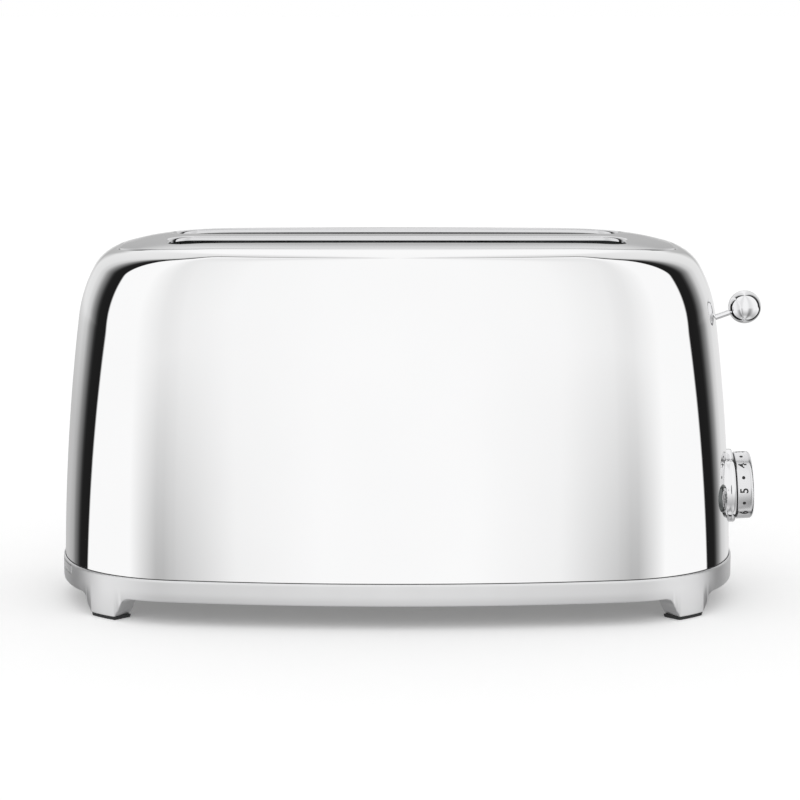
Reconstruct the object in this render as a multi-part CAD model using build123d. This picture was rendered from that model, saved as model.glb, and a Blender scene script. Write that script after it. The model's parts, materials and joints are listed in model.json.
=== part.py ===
from build123d import *
from math import atan2, cos, hypot, radians, sin, sqrt
import os

os.makedirs("parts", exist_ok=True)

# Four-slice toaster with two long slots. Millimetres, +Z up, front towards -Y, controls at the +X end.
# Sizes are given about the middle of the body; every part is moved by ORIGIN_SHIFT when it is written.

# Base ring and its plan, whose end, corner and front arcs run on into each other
RING_HALF_LENGTH = 189.2
RING_HALF_DEPTH = 104.0
END_RADIUS = 124.6
CORNER_RADIUS = 76.4
FRONT_RADIUS = 724.6
RING_BOTTOM = 12.7
RING_HEIGHT = 12.0
RING_EDGE = 0.8
SHELF_HEIGHT = 2.3
SHELF_WIDTH = 9.0
SHELF_RISE = 2.0

# Feet, which are lugs of the ring at its four corners
FOOT_ANGLE = 47.0
FOOT_BOTTOM_WIDTH = 20.0
FOOT_TOP_WIDTH = 29.0
FOOT_FLARE = 4.0
FOOT_DEPTH = 13.0
PAD_HEIGHT = 1.8
PAD_INSET = 1.0

# Drawn shell: each profile is a leaning wall, a slow shoulder, a tight rim and a shallow crown
SHEET = 0.8
SHELL_INSET = 1.5
SHELL_GAP = 0.4
CROWN_Z = 203.4
END_LEAN = 1.15
END_WALL_RADIUS = 1270.0
END_SHOULDER_Z = 152.0
END_SHOULDER_RADIUS = 112.0
END_RIM_RADIUS = 16.0
END_CROWN_REACH = 86.2
END_CROWN_RADIUS = 190.0
FRONT_LEAN = 0.6
FRONT_WALL_RADIUS = 1900.0
FRONT_SHOULDER_Z = 150.0
FRONT_SHOULDER_RADIUS = 88.0
FRONT_RIM_RADIUS = 24.0
FRONT_CROWN_REACH = 72.0
FRONT_CROWN_RADIUS = 300.0
LEVELS = 18
LEVEL_SPREAD = 2.2
TOP_DEPTH = 0.3

# Top plate, let into the shell, with two long bread slots
PLATE_END_MARGIN = 35.1
PLATE_SIDE_MARGIN = 37.4
PLATE_GAP = 0.3
PLATE_SKIRT_DEPTH = 10.8
PLATE_LEDGE = 2.2
SLOT_END_MARGIN = 28.1
SLOT_WIDTH = 36.0
SLOT_PITCH = 55.0
SLOT_CORNER = 13.0
COLLAR_DEPTH = 10.4

# Base pan, its vents, screws and cord gland
PAN_SHEET = 1.2
PAN_GAP = 0.4
VENT_LENGTH = 46.0
VENT_WIDTH = 4.0
VENT_PITCH_X = 62.0
VENT_PITCH_Y = 14.0
VENT_COLUMNS = 4
VENT_ROWS = 5
SCREW_RADIUS = 1.6
SCREW_HEAD_RADIUS = 3.1
SCREW_HEAD_HEIGHT = 1.8
SCREW_LENGTH = 7.5
SCREW_SPACING = 95.0
SCREW_CLEARANCE = 0.15
GLAND_END_MARGIN = 26.0
GLAND_SIDE_MARGIN = 32.0
GLAND_RADIUS = 7.8
GLAND_FLANGE = 2.4
GLAND_FLANGE_HEIGHT = 2.0
GLAND_HEIGHT = 7.0
GLAND_BORE = 3.6
TERMINAL_LENGTH = 26.0
TERMINAL_DEPTH = 13.0
TERMINAL_HEIGHT = 15.0
TERMINAL_OFFSET = 42.0
TERMINAL_WELLS = 3
TERMINAL_WELL_RADIUS = 2.9
TERMINAL_WELL_PITCH = 8.1

# Crumb tray, which slides out at the -X end
TRAY_HALF_WIDTH = 45.0
TRAY_END_MARGIN = 8.0
TRAY_SHEET = 0.6
TRAY_WALL = 3.6
TRAY_FRONT_HEIGHT = 4.5
TRAY_FRONT_DEPTH = 3.2
TRAY_GAP = 0.3

# Chassis inside the shell
CHASSIS_END_MARGIN = 43.2
CHASSIS_SIDE_MARGIN = 5.0
CHASSIS_SHEET = 1.0
CHASSIS_DROP = 6.6
CHASSIS_CORNER = 8.0
SHIELD_MARGIN = 5.0
SHIELD_SHEET = 0.6

# Heaters
HEATER_MARGIN = 5.0
HEATER_SHEET = 1.0
HEATER_DROP = 14.0
HEATER_HEIGHT = 122.0
RIBBON_ROWS = 9
RIBBON_WIDTH = 1.8
RIBBON_SHEET = 0.3
RIBBON_END_MARGIN = 18.0
RIBBON_MARGIN = 9.0

# Bread guides, which close on the bread as the carriage goes down
GUIDE_SETBACK = 1.5
GUIDE_TRAVEL = 7.0
GUIDE_BAR_RADIUS = 1.2
GUIDE_WIRE_RADIUS = 1.0
GUIDE_HEIGHT = 114.0
GUIDE_DROP = 16.0
GUIDE_WIRES = 10
GUIDE_END_MARGIN = 29.0
GUIDE_OVERHANG = 0.8
GUIDE_CLEARANCE = 0.3

# Bread lifts and the carriage that carries them
TRAVEL = 62.0
LIFT_DROP = 66.0
LIFT_HEIGHT = 9.0
LIFT_SHEET = 1.4
LIFT_FINGER_HALF = 7.3
LIFT_FINGER_WIDTH = 2.0
LIFT_FINGER_HEIGHT = 2.4
LIFT_FINGERS = 11
LIFT_FINGER_MARGIN = 26.0
LIFT_WINDOW_GAP = 1.0
LIFT_OVERHANG = 3.0
CARRIAGE_GAP = 1.2
CARRIAGE_SHEET = 1.6
CARRIAGE_MARGIN = 6.5
CARRIAGE_HEIGHT = 12.0
GUIDE_ROD_OFFSET = 11.0
GUIDE_ROD_RADIUS = 3.0
RUNNING_CLEARANCE = 0.08
BOSS_RADIUS = 6.5
BOSS_DROP = 9.7
WEB_WIDTH = 8.0
BUMPER_RADIUS = 5.2
BUMPER_HEIGHT = 3.7
BUMPER_GAP = 0.3
BRACKET_DROP = 10.0
BRACKET_SHEET = 1.6
BRACKET_HALF_WIDTH = 17.0
BRACKET_REACH = 8.5
BRACKET_FLANGE = 8.0
SPRING_Y = 13.0
SPRING_RADIUS = 3.1
SPRING_WIRE = 0.5
SPRING_TURNS = 12
SPRING_LUG_HEIGHT = 3.0

# Electromagnet that holds the carriage down, and the keeper on the carriage
MAGNET_Y = -19.0
MAGNET_LENGTH = 13.0
MAGNET_WIDTH = 16.0
MAGNET_GAP = 0.3
COIL_MARGIN = 2.0
KEEPER_SHEET = 2.0

# Lever
BALL_REACH = 38.5
BALL_DROP = 13.6
BALL_RADIUS = 9.3
LEVER_RISE = 19.7
LEVER_RADIUS = 1.6
LEVER_LENGTH = 36.0
LEVER_IN_BALL = 4.0
LEVER_LUG_REACH = 9.5
LEVER_LUG_WIDTH = 9.0
LEVER_LUG_HEIGHT = 12.0
LEVER_SLOT_RISE = 4.0
LEVER_SLOT_SPARE = 17.4
LEVER_SLOT_WIDTH = 6.0
LINER_SLIT = 4.6
LINER_WIDTH = 18.0
LINER_MARGIN = 4.0
LINER_SHEET = 1.6
LINER_GAP = 0.05

# Browning dial on the +X end
DIAL_Z = 60.4
DIAL_RADIUS = 19.0
DIAL_LENGTH = 9.2
DIAL_EDGE = 2.2
DIAL_WALL = 2.6
DIAL_HOLLOW = 5.0
DIAL_HUB_RADIUS = 6.5
DIAL_FACE_DISH = 0.5
DIAL_GAP = 1.0
HUB_GAP = 0.3
BEZEL_RADIUS = 20.8
BEZEL_HEIGHT = 3.4
BEZEL_EDGE = 0.7
BEZEL_NECK_RADIUS = 6.4
BEZEL_NECK = 6.0
SHAFT_RADIUS = 3.0
SHAFT_IN_DIAL = 6.0
SHAFT_IN_BODY = 12.0
SEAT_GAP = 0.03
HOLE_GAP = 0.12

# Control board behind the dial
BOARD_OFFSET = 16.4
BOARD_SHEET = 1.6
BOARD_HALF_WIDTH = 46.0
BOARD_HALF_HEIGHT = 25.0
POT_RADIUS = 8.5
POT_LENGTH = 8.0
STANDOFF_RADIUS = 3.0
STANDOFF_Y = 41.0
STANDOFF_UP = 20.0

# Push buttons either side of the dial
BUTTON_Y = 39.8
BUTTON_Z = 60.1
BUTTON_RADIUS = 6.0
BUTTON_PROUD = 1.2
BUTTON_DEPTH = 4.0
BUTTON_EDGE = 0.6
BUTTON_TRAVEL = 1.5
BUTTON_STEM_RADIUS = 2.0
BUTTON_STEM = 2.4
BUTTON_RING_WIDTH = 1.7
BUTTON_RING_HEIGHT = 1.3
BUTTON_SLEEVE = 0.8
BUTTON_SLEEVE_DEPTH = 4.5
SWITCH_SIZE = 7.0
SWITCH_GAP = 0.3

# Heights and places worked out from the sizes above
RING_TOP = RING_BOTTOM + RING_HEIGHT
SHELF_BOTTOM = RING_BOTTOM + SHELF_RISE
SHELL_BOTTOM = SHELF_BOTTOM + SHELF_HEIGHT
PAN_TOP = SHELL_BOTTOM + PAN_SHEET
PLATE_HALF_LENGTH = RING_HALF_LENGTH - PLATE_END_MARGIN
PLATE_HALF_DEPTH = RING_HALF_DEPTH - PLATE_SIDE_MARGIN
PLATE_SKIRT_BOTTOM = CROWN_Z - PLATE_SKIRT_DEPTH
COLLAR_BOTTOM = CROWN_Z - COLLAR_DEPTH
SLOT_LENGTH = 2 * (PLATE_HALF_LENGTH - SLOT_END_MARGIN)
SLOT_CENTRES = {"front": -SLOT_PITCH / 2, "back": SLOT_PITCH / 2}
GUIDE_OFFSET = SLOT_WIDTH / 2 - GUIDE_SETBACK
HEATER_OFFSET = GUIDE_OFFSET + HEATER_MARGIN
SHIELD_Y = SLOT_PITCH / 2 + HEATER_OFFSET + HEATER_SHEET + SHIELD_MARGIN
CHASSIS_HALF_LENGTH = RING_HALF_LENGTH - CHASSIS_END_MARGIN
CHASSIS_HALF_DEPTH = SHIELD_Y + CHASSIS_SIDE_MARGIN
CHASSIS_INNER = CHASSIS_HALF_LENGTH - CHASSIS_SHEET
CHASSIS_TOP = PLATE_SKIRT_BOTTOM - CHASSIS_DROP
HEATER_BOTTOM = CHASSIS_TOP - HEATER_DROP - HEATER_HEIGHT
RIBBON_HALF_LENGTH = CHASSIS_HALF_LENGTH - RIBBON_END_MARGIN
GUIDE_TOP = CHASSIS_TOP - GUIDE_DROP
GUIDE_BOTTOM = GUIDE_TOP - GUIDE_HEIGHT
GUIDE_PITCH = 2 * (CHASSIS_HALF_LENGTH - GUIDE_END_MARGIN) / (GUIDE_WIRES - 1)
LIFT_TOP = CHASSIS_TOP - LIFT_DROP
LIFT_FINGER_PITCH = 2 * (CHASSIS_HALF_LENGTH - LIFT_FINGER_MARGIN) / (LIFT_FINGERS - 1)
TRAY_BOTTOM = PAN_TOP + TRAY_GAP
TRAY_FRONT_TOP = TRAY_BOTTOM + TRAY_FRONT_HEIGHT
TRAY_END = CHASSIS_HALF_LENGTH - TRAY_END_MARGIN
GLAND_X = -(CHASSIS_HALF_LENGTH - GLAND_END_MARGIN)
GLAND_Y = RING_HALF_DEPTH - GLAND_SIDE_MARGIN
TERMINAL_X = GLAND_X + TERMINAL_OFFSET
BRACKET_Z = CHASSIS_TOP - BRACKET_DROP
GUIDE_ROD_X = CHASSIS_HALF_LENGTH + GUIDE_ROD_OFFSET
CARRIAGE_X = CHASSIS_HALF_LENGTH + CARRIAGE_GAP
CARRIAGE_FACE = CARRIAGE_X + CARRIAGE_SHEET
CARRIAGE_BOTTOM = LIFT_TOP - CARRIAGE_HEIGHT
CARRIAGE_HALF_WIDTH = SLOT_PITCH / 2 + CARRIAGE_MARGIN
BOSS_TOP = BRACKET_Z - BUMPER_HEIGHT - BUMPER_GAP
BOSS_BOTTOM = CARRIAGE_BOTTOM - BOSS_DROP
KEEPER_BOTTOM = BOSS_BOTTOM - KEEPER_SHEET
BALL_X = GUIDE_ROD_X + BALL_REACH
BALL_Z = BRACKET_Z - BALL_DROP
LEVER_SLOT_TOP = BALL_Z + LEVER_SLOT_RISE
LEVER_SLOT_BOTTOM = LEVER_SLOT_TOP - TRAVEL - LEVER_SLOT_SPARE
ORIGIN_SHIFT = -(BALL_X + BALL_RADIUS - RING_HALF_LENGTH) / 2
FAR = 400.0


def write(name, shape):
    """Writes one sub-part, moved so that the whole toaster stands centred on the origin."""
    export_step(Pos(ORIGIN_SHIFT, 0, 0) * shape, f"parts/{name}.step")


def tangent_centre(first, first_reach, second, second_reach):
    """Point at one distance from each of two centres, on the side away from the origin."""
    across_x = second[0] - first[0]
    across_y = second[1] - first[1]
    gap = hypot(across_x, across_y)
    along = (gap**2 + first_reach**2 - second_reach**2) / (2 * gap)
    aside = sqrt(first_reach**2 - along**2)
    unit_x, unit_y = across_x / gap, across_y / gap
    foot = (first[0] + along * unit_x, first[1] + along * unit_y)
    choices = [(foot[0] - side * unit_y, foot[1] + side * unit_x) for side in (aside, -aside)]
    return max(choices, key=sum)


def profile(foot, lean, wall_radius, shoulder_z, shoulder_radius, rim_radius, flat, crown_radius):
    """Arcs of one side of the body, each as centre, radius and the sine of its upper end's angle."""
    wall = (foot - wall_radius * cos(radians(lean)), RING_TOP - wall_radius * sin(radians(lean)))
    turn_sine = (shoulder_z - wall[1]) / wall_radius
    turn_cosine = sqrt(1 - turn_sine**2)
    reach = wall_radius - shoulder_radius
    shoulder = (wall[0] + reach * turn_cosine, wall[1] + reach * turn_sine)
    crown = (flat, CROWN_Z - crown_radius)
    rim = tangent_centre(shoulder, shoulder_radius - rim_radius, crown, crown_radius - rim_radius)
    rim_sine = (rim[1] - shoulder[1]) / (shoulder_radius - rim_radius)
    crown_sine = (rim[1] - crown[1]) / (crown_radius - rim_radius)
    return [
        (wall, wall_radius, turn_sine),
        (shoulder, shoulder_radius, rim_sine),
        (rim, rim_radius, crown_sine),
        (crown, crown_radius, 1.0),
    ]


END_PROFILE = profile(
    RING_HALF_LENGTH - SHELL_INSET, END_LEAN, END_WALL_RADIUS, END_SHOULDER_Z,
    END_SHOULDER_RADIUS, END_RIM_RADIUS, RING_HALF_LENGTH - END_CROWN_REACH, END_CROWN_RADIUS,
)
FRONT_PROFILE = profile(
    RING_HALF_DEPTH - SHELL_INSET, FRONT_LEAN, FRONT_WALL_RADIUS, FRONT_SHOULDER_Z,
    FRONT_SHOULDER_RADIUS, FRONT_RIM_RADIUS, RING_HALF_DEPTH - FRONT_CROWN_REACH, FRONT_CROWN_RADIUS,
)


def half_size(arcs, z, grow=0.0):
    """Half size of the body at a height, with every arc grown by the same amount."""
    for centre, radius, end_sine in arcs:
        if z <= centre[1] + (radius + grow) * end_sine:
            return centre[0] + sqrt((radius + grow) ** 2 - (z - centre[1]) ** 2)
    return arcs[-1][0][0]


def end_radius_at(half_depth):
    """Radius of the plan's end arc where the body has a given half depth."""
    return END_RADIUS * half_depth / RING_HALF_DEPTH


def plan(half_length, half_depth, z=0.0, grow=0.0):
    """Flat face with the body's rounded plan, eight arcs that meet without a kink."""
    end_radius = end_radius_at(half_depth)
    corner_radius = CORNER_RADIUS * half_depth / RING_HALF_DEPTH
    front_radius = FRONT_RADIUS * half_length / RING_HALF_LENGTH
    end = (half_length - end_radius, 0.0)
    front = (0.0, half_depth - front_radius)
    corner = tangent_centre(end, end_radius - corner_radius, front, front_radius - corner_radius)
    end_turn = atan2(corner[1] - end[1], corner[0] - end[0])
    front_turn = atan2(corner[1] - front[1], corner[0] - front[0])
    middle_turn = (end_turn + front_turn) / 2
    reach = corner_radius + grow
    end_x, end_y = corner[0] + reach * cos(end_turn), corner[1] + reach * sin(end_turn)
    mid_x, mid_y = corner[0] + reach * cos(middle_turn), corner[1] + reach * sin(middle_turn)
    front_x, front_y = corner[0] + reach * cos(front_turn), corner[1] + reach * sin(front_turn)
    tip, side = half_length + grow, half_depth + grow
    arcs = [
        ThreePointArc((end_x, -end_y), (tip, 0), (end_x, end_y)),
        ThreePointArc((end_x, end_y), (mid_x, mid_y), (front_x, front_y)),
        ThreePointArc((front_x, front_y), (0, side), (-front_x, front_y)),
        ThreePointArc((-front_x, front_y), (-mid_x, mid_y), (-end_x, end_y)),
        ThreePointArc((-end_x, end_y), (-tip, 0), (-end_x, -end_y)),
        ThreePointArc((-end_x, -end_y), (-mid_x, -mid_y), (-front_x, -front_y)),
        ThreePointArc((-front_x, -front_y), (0, -side), (front_x, -front_y)),
        ThreePointArc((front_x, -front_y), (mid_x, -mid_y), (end_x, -end_y)),
    ]
    return Pos(0, 0, z) * Face(Wire([arc.edge() for arc in arcs]))


def plan_prism(half_length, half_depth, low, high, grow=0.0):
    """Upright block with a rounded plan."""
    return extrude(plan(half_length, half_depth, low, grow), high - low, dir=(0, 0, 1))


def plate_prism(low, high, grow=0.0):
    """Upright block with the top plate's plan."""
    return plan_prism(PLATE_HALF_LENGTH, PLATE_HALF_DEPTH, low, high, grow)


def ring_prism(grow, low, high):
    """Upright block with the base ring's plan."""
    return plan_prism(RING_HALF_LENGTH, RING_HALF_DEPTH, low, high, grow)


def body_form(grow=0.0):
    """Whole outer form of the body as a solid, lofted through its plan at many heights."""
    depth = CROWN_Z - SHELL_BOTTOM
    faces = []
    for level in range(LEVELS, -1, -1):
        below = TOP_DEPTH + (depth - TOP_DEPTH) * (level / LEVELS) ** LEVEL_SPREAD
        z = CROWN_Z + grow - below
        if level == LEVELS:
            z = SHELL_BOTTOM
        length = half_size(END_PROFILE, z, grow) - grow
        side = half_size(FRONT_PROFILE, z, grow) - grow
        faces.append(plan(length, side, z, grow))
    return loft(faces)


def block(x, y, z):
    """Box between pairs of limits."""
    size = Box(x[1] - x[0], y[1] - y[0], z[1] - z[0])
    return Pos((x[0] + x[1]) / 2, (y[0] + y[1]) / 2, (z[0] + z[1]) / 2) * size


def span(first, second):
    """Pair of limits in rising order."""
    return min(first, second), max(first, second)


def slot_prism(centre_y, low, high, grow=0.0):
    """Upright block with the outline of one bread slot."""
    outline = RectangleRounded(SLOT_LENGTH + 2 * grow, SLOT_WIDTH + 2 * grow, SLOT_CORNER + grow)
    return extrude(Pos(0, centre_y, low) * outline, high - low)


def surface_plane(y, z):
    """Plane on the +X end of the body, facing straight out of its surface."""
    length, side = half_size(END_PROFILE, z), half_size(FRONT_PROFILE, z)
    end_radius = end_radius_at(side)
    normal_turn = atan2(y, sqrt(end_radius**2 - y**2))
    wall_centre, wall_radius, _ = END_PROFILE[0]
    rise = (z - wall_centre[1]) / wall_radius
    flat = sqrt(1 - rise**2)
    x = length - end_radius + sqrt(end_radius**2 - y**2)
    outward = (flat * cos(normal_turn), flat * sin(normal_turn), rise)
    sideways = (-sin(normal_turn), cos(normal_turn), 0)
    return Plane(origin=(x, y, z), x_dir=sideways, z_dir=outward)


def disc(plane, radius, low, high):
    """Round block on a plane, between two distances along its normal."""
    return plane * Pos(0, 0, (low + high) / 2) * Cylinder(radius, high - low)


DIAL_PLANE = surface_plane(0.0, DIAL_Z)
BUTTON_PLANES = {
    "front": surface_plane(-BUTTON_Y, BUTTON_Z),
    "back": surface_plane(BUTTON_Y, BUTTON_Z),
}
OUTER = body_form()
INNER = body_form(-SHEET)


def make_outer_shell():
    shell = OUTER - INNER
    shell -= plate_prism(PLATE_SKIRT_BOTTOM - FAR, FAR, PLATE_GAP)
    lip = plate_prism(PLATE_SKIRT_BOTTOM - SHEET, FAR, PLATE_GAP + SHEET)
    lip -= plate_prism(PLATE_SKIRT_BOTTOM, FAR, PLATE_GAP)
    lip -= plate_prism(0, FAR, PLATE_GAP - PLATE_LEDGE)
    shell += lip & OUTER
    half_slot = LEVER_SLOT_WIDTH / 2
    shell -= block((0, FAR), (-half_slot, half_slot), (LEVER_SLOT_BOTTOM, LEVER_SLOT_TOP))
    shell -= disc(DIAL_PLANE, BEZEL_NECK_RADIUS + HOLE_GAP, -BOARD_OFFSET, DIAL_GAP)
    hole = BUTTON_RADIUS + RUNNING_CLEARANCE + BUTTON_SLEEVE + HOLE_GAP
    for plane in BUTTON_PLANES.values():
        shell -= disc(plane, hole, -BUTTON_DEPTH, BUTTON_DEPTH)
    notch = TRAY_HALF_WIDTH + TRAY_GAP
    shell -= block((-FAR, -PLATE_HALF_LENGTH), (-notch, notch), (0, TRAY_FRONT_TOP + TRAY_GAP))
    return shell


def make_top_plate():
    plate = (OUTER - INNER) & plate_prism(PLATE_SKIRT_BOTTOM, FAR)
    skirt = plate_prism(PLATE_SKIRT_BOTTOM, FAR) - plate_prism(0, FAR, -SHEET)
    for centre_y in SLOT_CENTRES.values():
        skirt += slot_prism(centre_y, COLLAR_BOTTOM, FAR, SHEET)
    plate += skirt & OUTER
    for centre_y in SLOT_CENTRES.values():
        plate -= slot_prism(centre_y, 0, FAR)
    return plate


def foot_block(side_x, side_y, low, high, depth, inset=0.0):
    """Foot lug at one corner: a tapered upright profile, cut to the ring's own plan."""
    turn = FOOT_ANGLE if side_x > 0 else 180 - FOOT_ANGLE
    half_bottom = FOOT_BOTTOM_WIDTH / 2 - inset
    half_top = FOOT_TOP_WIDTH / 2 - inset
    half_flare = half_top + FOOT_FLARE
    flare_z = high - FOOT_FLARE
    outline = Polyline(
        (-half_bottom, low), (half_bottom, low), (half_top, flare_z), (half_flare, high),
        (-half_flare, high), (-half_top, flare_z), (-half_bottom, low),
    )
    side = Face(Wire(outline.edges()))
    corner_x, corner_y = foot_centre(side_x)
    along, outward = (-sin(radians(turn)), cos(radians(turn)), 0), (cos(radians(turn)), sin(radians(turn)), 0)
    upright = Plane(origin=(corner_x, corner_y, 0), x_dir=along, z_dir=outward)
    lug = extrude(upright * side, FAR / 4)
    lug &= ring_prism(-inset, low, high) - ring_prism(inset - depth, low, high)
    return lug if side_y > 0 else mirror(lug, Plane.XZ)


def foot_centre(side_x):
    """Centre of the plan's corner arc on the back side."""
    end = (RING_HALF_LENGTH - END_RADIUS, 0.0)
    front = (0.0, RING_HALF_DEPTH - FRONT_RADIUS)
    centre = tangent_centre(end, END_RADIUS - CORNER_RADIUS, front, FRONT_RADIUS - CORNER_RADIUS)
    return side_x * centre[0], centre[1]


CORNERS = {
    "front_left": (-1, -1), "front_right": (1, -1), "back_left": (-1, 1), "back_right": (1, 1),
}


def make_base_ring():
    ring = ring_prism(0, RING_BOTTOM, RING_TOP)
    ring = chamfer(ring.faces().sort_by(Axis.Z)[-1].edges(), RING_EDGE)
    ring -= ring_prism(-SHELL_INSET + SHELL_GAP, SHELL_BOTTOM, RING_TOP)
    ring -= ring_prism(-SHELF_WIDTH, RING_BOTTOM, SHELL_BOTTOM)
    ring -= ring_prism(-SHELL_INSET - SHEET, RING_BOTTOM, SHELF_BOTTOM)
    for side_x, side_y in CORNERS.values():
        ring += foot_block(side_x, side_y, PAD_HEIGHT, SHELF_BOTTOM, FOOT_DEPTH)
    notch = TRAY_HALF_WIDTH + TRAY_GAP
    notch_z = (TRAY_BOTTOM - TRAY_GAP, TRAY_FRONT_TOP + TRAY_GAP)
    ring -= block((-FAR, -PLATE_HALF_LENGTH), (-notch, notch), notch_z)
    for x, y in screw_places():
        ring -= Pos(x, y, SHELL_BOTTOM) * Cylinder(SCREW_RADIUS + SCREW_CLEARANCE, 3 * SHELF_HEIGHT)
    return ring


def make_foot_pad(side_x, side_y):
    lug = foot_block(side_x, side_y, 0, SHELF_BOTTOM, FOOT_DEPTH, PAD_INSET)
    return lug & block((-FAR, FAR), (-FAR, FAR), (0, PAD_HEIGHT))


def screw_places():
    """Middle of the shelf's free width, three along the front and three along the back."""
    inset = (SHELL_INSET + SHEET + SHELF_WIDTH) / 2
    radius = FRONT_RADIUS - inset
    centre_y = RING_HALF_DEPTH - FRONT_RADIUS
    places = []
    for x in (-SCREW_SPACING, 0.0, SCREW_SPACING):
        y = centre_y + sqrt(radius**2 - x**2)
        places += [(x, y), (x, -y)]
    return places


def make_base_screws():
    screws = []
    for x, y in screw_places():
        head = Cylinder(SCREW_HEAD_RADIUS, SCREW_HEAD_HEIGHT)
        head = Pos(x, y, SHELF_BOTTOM - SCREW_HEAD_HEIGHT / 2) * head
        head = fillet(head.edges().sort_by(Axis.Z)[0], SCREW_HEAD_HEIGHT / 3)
        shank = Pos(x, y, SHELF_BOTTOM + SCREW_LENGTH / 2) * Cylinder(SCREW_RADIUS, SCREW_LENGTH)
        screws.append(head + shank)
    return Compound(screws)


def make_base_pan():
    wall = half_size(END_PROFILE, SHELL_BOTTOM)
    depth = half_size(FRONT_PROFILE, SHELL_BOTTOM)
    pan = plan_prism(wall, depth, SHELL_BOTTOM, PAN_TOP, -SHEET - PAN_GAP)
    for x, y in screw_places():
        pan -= Pos(x, y, PAN_TOP) * Cylinder(SCREW_RADIUS + SCREW_CLEARANCE, 3 * PAN_SHEET)
    pan -= Pos(GLAND_X, GLAND_Y, PAN_TOP) * Cylinder(GLAND_RADIUS + HOLE_GAP, 3 * PAN_SHEET)
    vent = extrude(SlotOverall(VENT_LENGTH, VENT_WIDTH), 3 * PAN_SHEET, both=True)
    for place in GridLocations(VENT_PITCH_X, VENT_PITCH_Y, VENT_COLUMNS, VENT_ROWS):
        pan -= Pos(0, 0, PAN_TOP) * place * vent
    return pan


def make_cord_gland():
    gland = disc(Plane.XY, GLAND_RADIUS + GLAND_FLANGE, -GLAND_FLANGE_HEIGHT, 0)
    gland += disc(Plane.XY, GLAND_RADIUS, 0, GLAND_HEIGHT)
    gland -= disc(Plane.XY, GLAND_BORE, -GLAND_HEIGHT, 2 * GLAND_HEIGHT)
    return Pos(GLAND_X, GLAND_Y, SHELL_BOTTOM) * gland


def make_terminal_block():
    x = (TERMINAL_X - TERMINAL_LENGTH / 2, TERMINAL_X + TERMINAL_LENGTH / 2)
    y = (GLAND_Y - TERMINAL_DEPTH / 2, GLAND_Y + TERMINAL_DEPTH / 2)
    terminal = block(x, y, (PAN_TOP, PAN_TOP + TERMINAL_HEIGHT))
    for count in range(TERMINAL_WELLS):
        along = (count - (TERMINAL_WELLS - 1) / 2) * TERMINAL_WELL_PITCH
        well = Cylinder(TERMINAL_WELL_RADIUS, TERMINAL_HEIGHT / 2)
        terminal -= Pos(TERMINAL_X + along, GLAND_Y, PAN_TOP + TERMINAL_HEIGHT) * well
    return terminal


def make_crumb_tray():
    outer = block((-RING_HALF_LENGTH, TRAY_END), (-TRAY_HALF_WIDTH, TRAY_HALF_WIDTH),
                  (TRAY_BOTTOM, TRAY_BOTTOM + TRAY_WALL))
    outer &= ring_prism(-TRAY_FRONT_DEPTH, TRAY_BOTTOM, TRAY_BOTTOM + TRAY_WALL)
    side, floor_top = TRAY_HALF_WIDTH - TRAY_SHEET, TRAY_BOTTOM + TRAY_SHEET
    hollow = block((-RING_HALF_LENGTH, TRAY_END - TRAY_SHEET), (-side, side), (floor_top, FAR))
    bar = ring_prism(0, TRAY_BOTTOM, TRAY_FRONT_TOP) - ring_prism(-TRAY_FRONT_DEPTH, 0, FAR)
    bar &= block((-FAR, -PLATE_HALF_LENGTH), (-TRAY_HALF_WIDTH, TRAY_HALF_WIDTH), (0, FAR))
    return (outer - hollow) + bar


def make_chassis_end(side):
    """End plate of the chassis, with windows for the lifts, the guides and the crumb tray."""
    x = span(side * CHASSIS_INNER, side * CHASSIS_HALF_LENGTH)
    face = Rectangle(2 * CHASSIS_HALF_DEPTH, CHASSIS_TOP - PAN_TOP)
    corners = face.vertices().group_by(Axis.Y)[-1]
    upright = Plane(origin=(x[0], 0, (PAN_TOP + CHASSIS_TOP) / 2), x_dir=(0, 1, 0), z_dir=(1, 0, 0))
    plate = extrude(upright * fillet(corners, CHASSIS_CORNER), CHASSIS_SHEET)
    lift_half = LIFT_SHEET / 2 + LIFT_WINDOW_GAP
    lift_low = LIFT_TOP - LIFT_HEIGHT - TRAVEL - LIFT_WINDOW_GAP
    bar_gap = GUIDE_BAR_RADIUS + GUIDE_CLEARANCE
    for centre_y in SLOT_CENTRES.values():
        window_y = (centre_y - lift_half, centre_y + lift_half)
        plate -= block(x, window_y, (lift_low, LIFT_TOP + LIFT_WINDOW_GAP))
        for way in (-1, 1):
            open_y = centre_y + way * (GUIDE_OFFSET + bar_gap)
            shut_y = centre_y + way * (GUIDE_OFFSET - GUIDE_TRAVEL - bar_gap)
            for z in (GUIDE_BOTTOM, GUIDE_TOP):
                plate -= block(x, span(open_y, shut_y), (z - bar_gap, z + bar_gap))
    if side < 0:
        notch = TRAY_HALF_WIDTH + TRAY_GAP
        plate -= block(x, (-notch, notch), (0, TRAY_FRONT_TOP + TRAY_GAP))
    return plate


def make_heat_shield(side):
    y = span(side * SHIELD_Y, side * (SHIELD_Y + SHIELD_SHEET))
    shield = block((-CHASSIS_INNER, CHASSIS_INNER), y, (PAN_TOP, CHASSIS_TOP - CHASSIS_CORNER))
    groove = Rot(0, 90, 0) * Cylinder(SHIELD_SHEET / 2, 2 * CHASSIS_HALF_LENGTH)
    for z in (HEATER_BOTTOM, HEATER_BOTTOM + HEATER_HEIGHT):
        shield -= Pos(0, side * (SHIELD_Y + SHIELD_SHEET), z) * groove
    return shield


def heater_face(centre_y, way):
    """Y of the heater board's face that looks at the bread."""
    return centre_y + way * HEATER_OFFSET


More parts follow.
